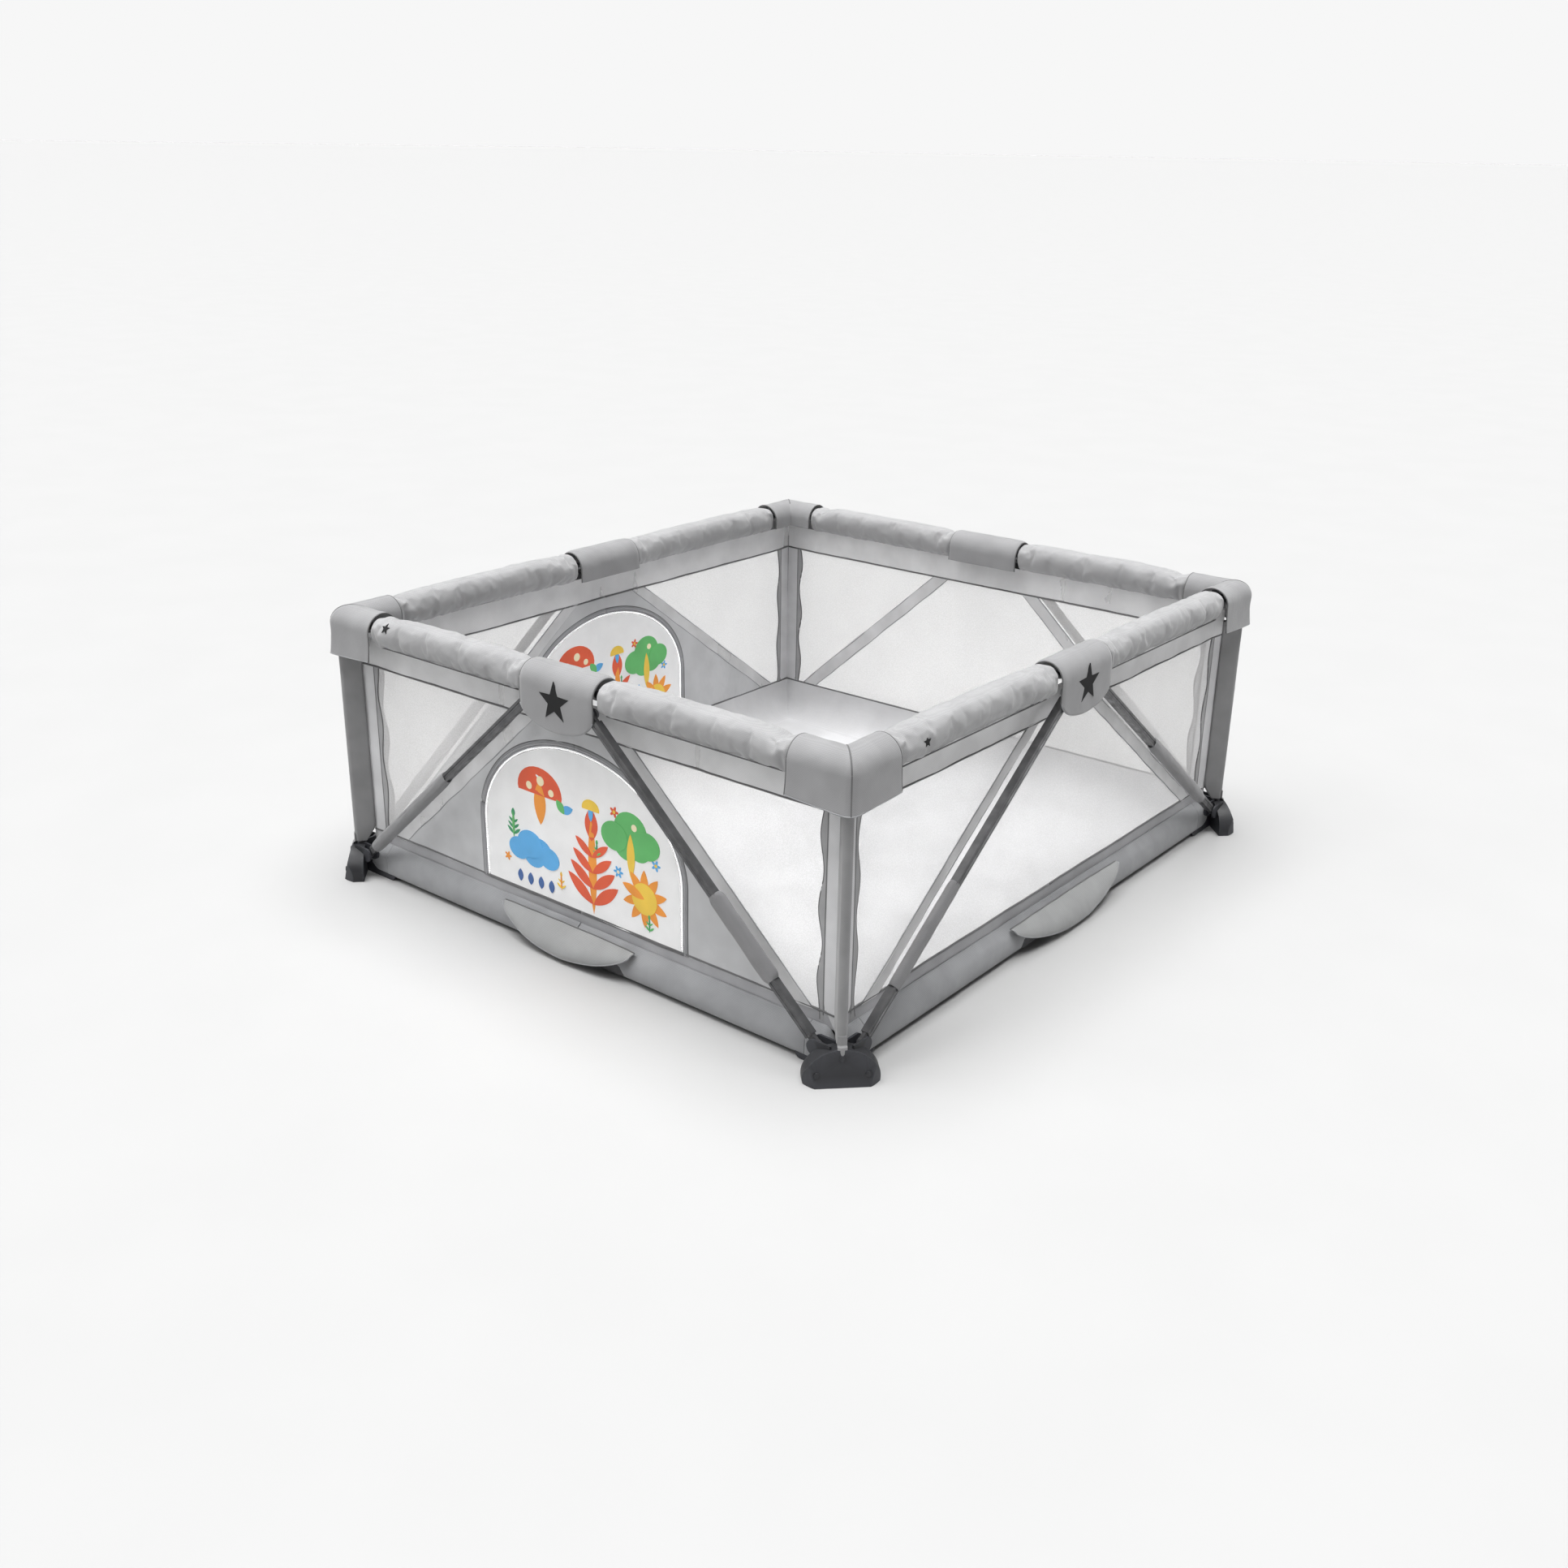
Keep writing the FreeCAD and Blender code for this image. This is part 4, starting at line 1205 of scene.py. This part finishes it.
def floor():
    """The padded floor in quarters that lift with the bottom rails, its edges, and the cloth to the walls."""
    inner_x = HALF_W - 0.069
    outer_x = HALF_W - MAT_GAP
    outer_y = HALF_D - MAT_GAP
    rise = 0.075
    to_wall = WALL_IN + 0.0035

    def height(x, y):
        where = Vector((x * 5, y * 5, 1.7))
        soft = 0.0016 * noise.noise(where) + 0.0006 * noise.noise(where * 4)
        ridge = 0.0012 * math.exp(-((x * 0.55 + y * 0.83) / 0.02) ** 2)
        return MAT_TOP - 0.0012 + soft + ridge

    for sx, sy in ((-1, -1), (-1, 1), (1, -1), (1, 1)):
        side_name = "front" if sy < 0 else "back"
        end = "right" if sx > 0 else "left"
        quarter = f"{side_name}_{end}"
        flatten = (Vector((0, 1, 0)), Vector((sx * HALF_W, sy * HALF_D, 0)), FOLDED_SHARE["left"])
        parts = (("floor", f"bottom_rail_{quarter}", 0.0, inner_x, 40),
                 ("floor_edge", f"corner_{quarter}", inner_x, outer_x, 4))
        for part, body, start, stop, rows in parts:

            def point(i, j):
                x = sx * (start + (stop - start) * i)
                y = sy * outer_y * j
                return Vector((x, y, height(x, y)))

            piece = surface(f"{part}_{quarter}", rows, 60, point, MAT_CLOTH)
            thicken(piece, 0.0026)
            if piece.name == "floor_front_left":
                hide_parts("floor_mat")
            settle(piece, body, flatten)
        for along_x in (True, False):
            length, depth = (HALF_W, HALF_D) if along_x else (HALF_D, HALF_W)

            def rising(i, j):
                """A point of the cloth between floor and wall, a quarter ellipse that ends upright."""
                turn = math.pi / 2 * j
                z = MAT_TOP - 0.001 + (BASE_TOP - MAT_TOP) * (1 - math.cos(turn))
                other = (length - to_wall) * i
                lift = 0.0012 * noise.noise(Vector((other * 14, z * 30, sx + 3 * sy)))
                far = depth - to_wall - rise * (1 - math.sin(turn)) + lift
                return Vector((sx * other, sy * far, z)) if along_x else Vector((sx * far, sy * other, z))

            name = f"floor_rise_{'long' if along_x else 'cross'}_{quarter}"
            piece = surface(name, 40, 14, rising, MAT_CLOTH)
            thicken(piece, CLOTH)
            side = side_called(side_name if along_x else end)
            half = next(h for h, (_, corner) in side.ends.items() if corner == quarter)
            settle(piece, f"corner_{quarter}", wall_squash(side, half))


# ---- hard parts ----


def dress_frame():
    """Materials for the parts that stay as the frame has them, with the screws picked out on the feet."""
    for node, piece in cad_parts.items():
        material = POST_STEEL
        if node.startswith("foot"):
            material = FOOT_PLASTIC
        elif node.startswith(("hub_", "slider_")):
            material = JOINT_PLASTIC
        elif node.startswith(("diagonal", "bottom_rail")):
            material = BAR_STEEL
        piece.data.materials.clear()
        piece.data.materials.append(material)
        if node.startswith("foot"):
            piece.data.materials.append(SCREW)
            paint_screws(piece)


def paint_screws(piece):
    """Give every small separate solid of a foot, its screws and rivets, the plated finish."""
    screw_span = 0.05
    work = bmesh.new()
    work.from_mesh(piece.data)
    origin = work.faces.layers.int.new("origin")
    for number, face in enumerate(work.faces):
        face[origin] = number
    bmesh.ops.remove_doubles(work, verts=work.verts, dist=0.00001)
    seen = set()
    small = []
    for face in work.faces:
        if face in seen:
            continue
        island = [face]
        seen.add(face)
        for here in island:
            for edge in here.edges:
                fresh = [other for other in edge.link_faces if other not in seen]
                seen.update(fresh)
                island += fresh
        points = [v.co for member in island for v in member.verts]
        span = max(max(p[a] for p in points) - min(p[a] for p in points) for a in range(3))
        if span < screw_span:
            small += [member[origin] for member in island]
    work.free()
    for index in small:
        piece.data.polygons[index].material_index = 1


# ---- stage ----


def build_camera():
    """Three-quarter view from above the front corner."""
    azimuth, elevation, roll = (math.radians(angle) for angle in (38.7, 21.67, 0.9023))
    level = math.cos(elevation)
    back = Vector((math.sin(azimuth) * level, -math.cos(azimuth) * level, math.sin(elevation)))
    target = Vector((0.0789, -0.1906, 0.2475))
    distance = 3.825
    camera = add_object("camera", bpy.data.cameras.new("camera"))
    camera.data.lens = 36.93
    camera.data.sensor_width = 36
    right = (-back).cross(Vector((0, 0, 1))).normalized()
    up = right.cross(-back)
    tilted_right = right * math.cos(roll) + up * math.sin(roll)
    tilted_up = up * math.cos(roll) - right * math.sin(roll)
    turn = Matrix((tilted_right, tilted_up, back)).transposed()
    camera.matrix_world = Matrix.Translation(target + back * distance) @ turn.to_4x4()
    bpy.context.scene.camera = camera


def build_light():
    """A pale room under a bright overhead softbox, with a soft sun from the front left."""
    world = bpy.data.worlds.new("room")
    world.use_nodes = True
    tree = world.node_tree
    place = tree.nodes.new("ShaderNodeTexCoord")
    split = tree.nodes.new("ShaderNodeSeparateXYZ")
    ramp = tree.nodes.new("ShaderNodeValToRGB")
    tree.links.new(place.outputs["Generated"], split.inputs["Vector"])
    tree.links.new(split.outputs["Z"], ramp.inputs["Fac"])
    shades = ((0.0, 0.93), (0.10, 0.93), (0.20, 0.14), (0.86, 0.14), (0.92, 9.0))
    brightest = shades[-1][1]
    while len(ramp.color_ramp.elements) < len(shades):
        ramp.color_ramp.elements.new(0.5)
    for element, (up, shade) in zip(ramp.color_ramp.elements, shades):
        element.position = up
        element.color = (shade / brightest,) * 3 + (1,)
    tree.links.new(ramp.outputs["Color"], tree.nodes["Background"].inputs["Color"])
    tree.nodes["Background"].inputs["Strength"].default_value = brightest
    bpy.context.scene.world = world
    sun = add_object("sun", bpy.data.lights.new("sun", "SUN"))
    sun.data.energy = 1.0
    sun.data.angle = math.radians(40)
    sun.rotation_euler = Vector((0.45, 0.55, -0.80)).to_track_quat("-Z", "Y").to_euler()
    bpy.context.scene.view_settings.view_transform = "Standard"


def build_floor():
    ground = Nodes("ground", 0.9)
    shade = ground.ramp(ground.noise(3), grey(GROUND_SHADE - 0.003), grey(GROUND_SHADE + 0.003))
    ground.feed("Base Color", shade)
    plane = surface("stage_floor", 2, 2, lambda i, j: Vector((i - 0.5, j - 0.5, 0)) * GROUND_SIZE,
                    ground.material)


def main():
    build_camera()
    build_light()
    build_floor()
    dress_frame()
    rail_pads()
    hub_covers()
    corner_caps()
    for _, side, half, end, corner in halves():
        half_wall(side, half, end, corner)
    post_columns()
    bottom_sleeves()
    joint_flaps()
    bar_channels()
    bar_sleeves()
    rail_marks()
    floor()


main()
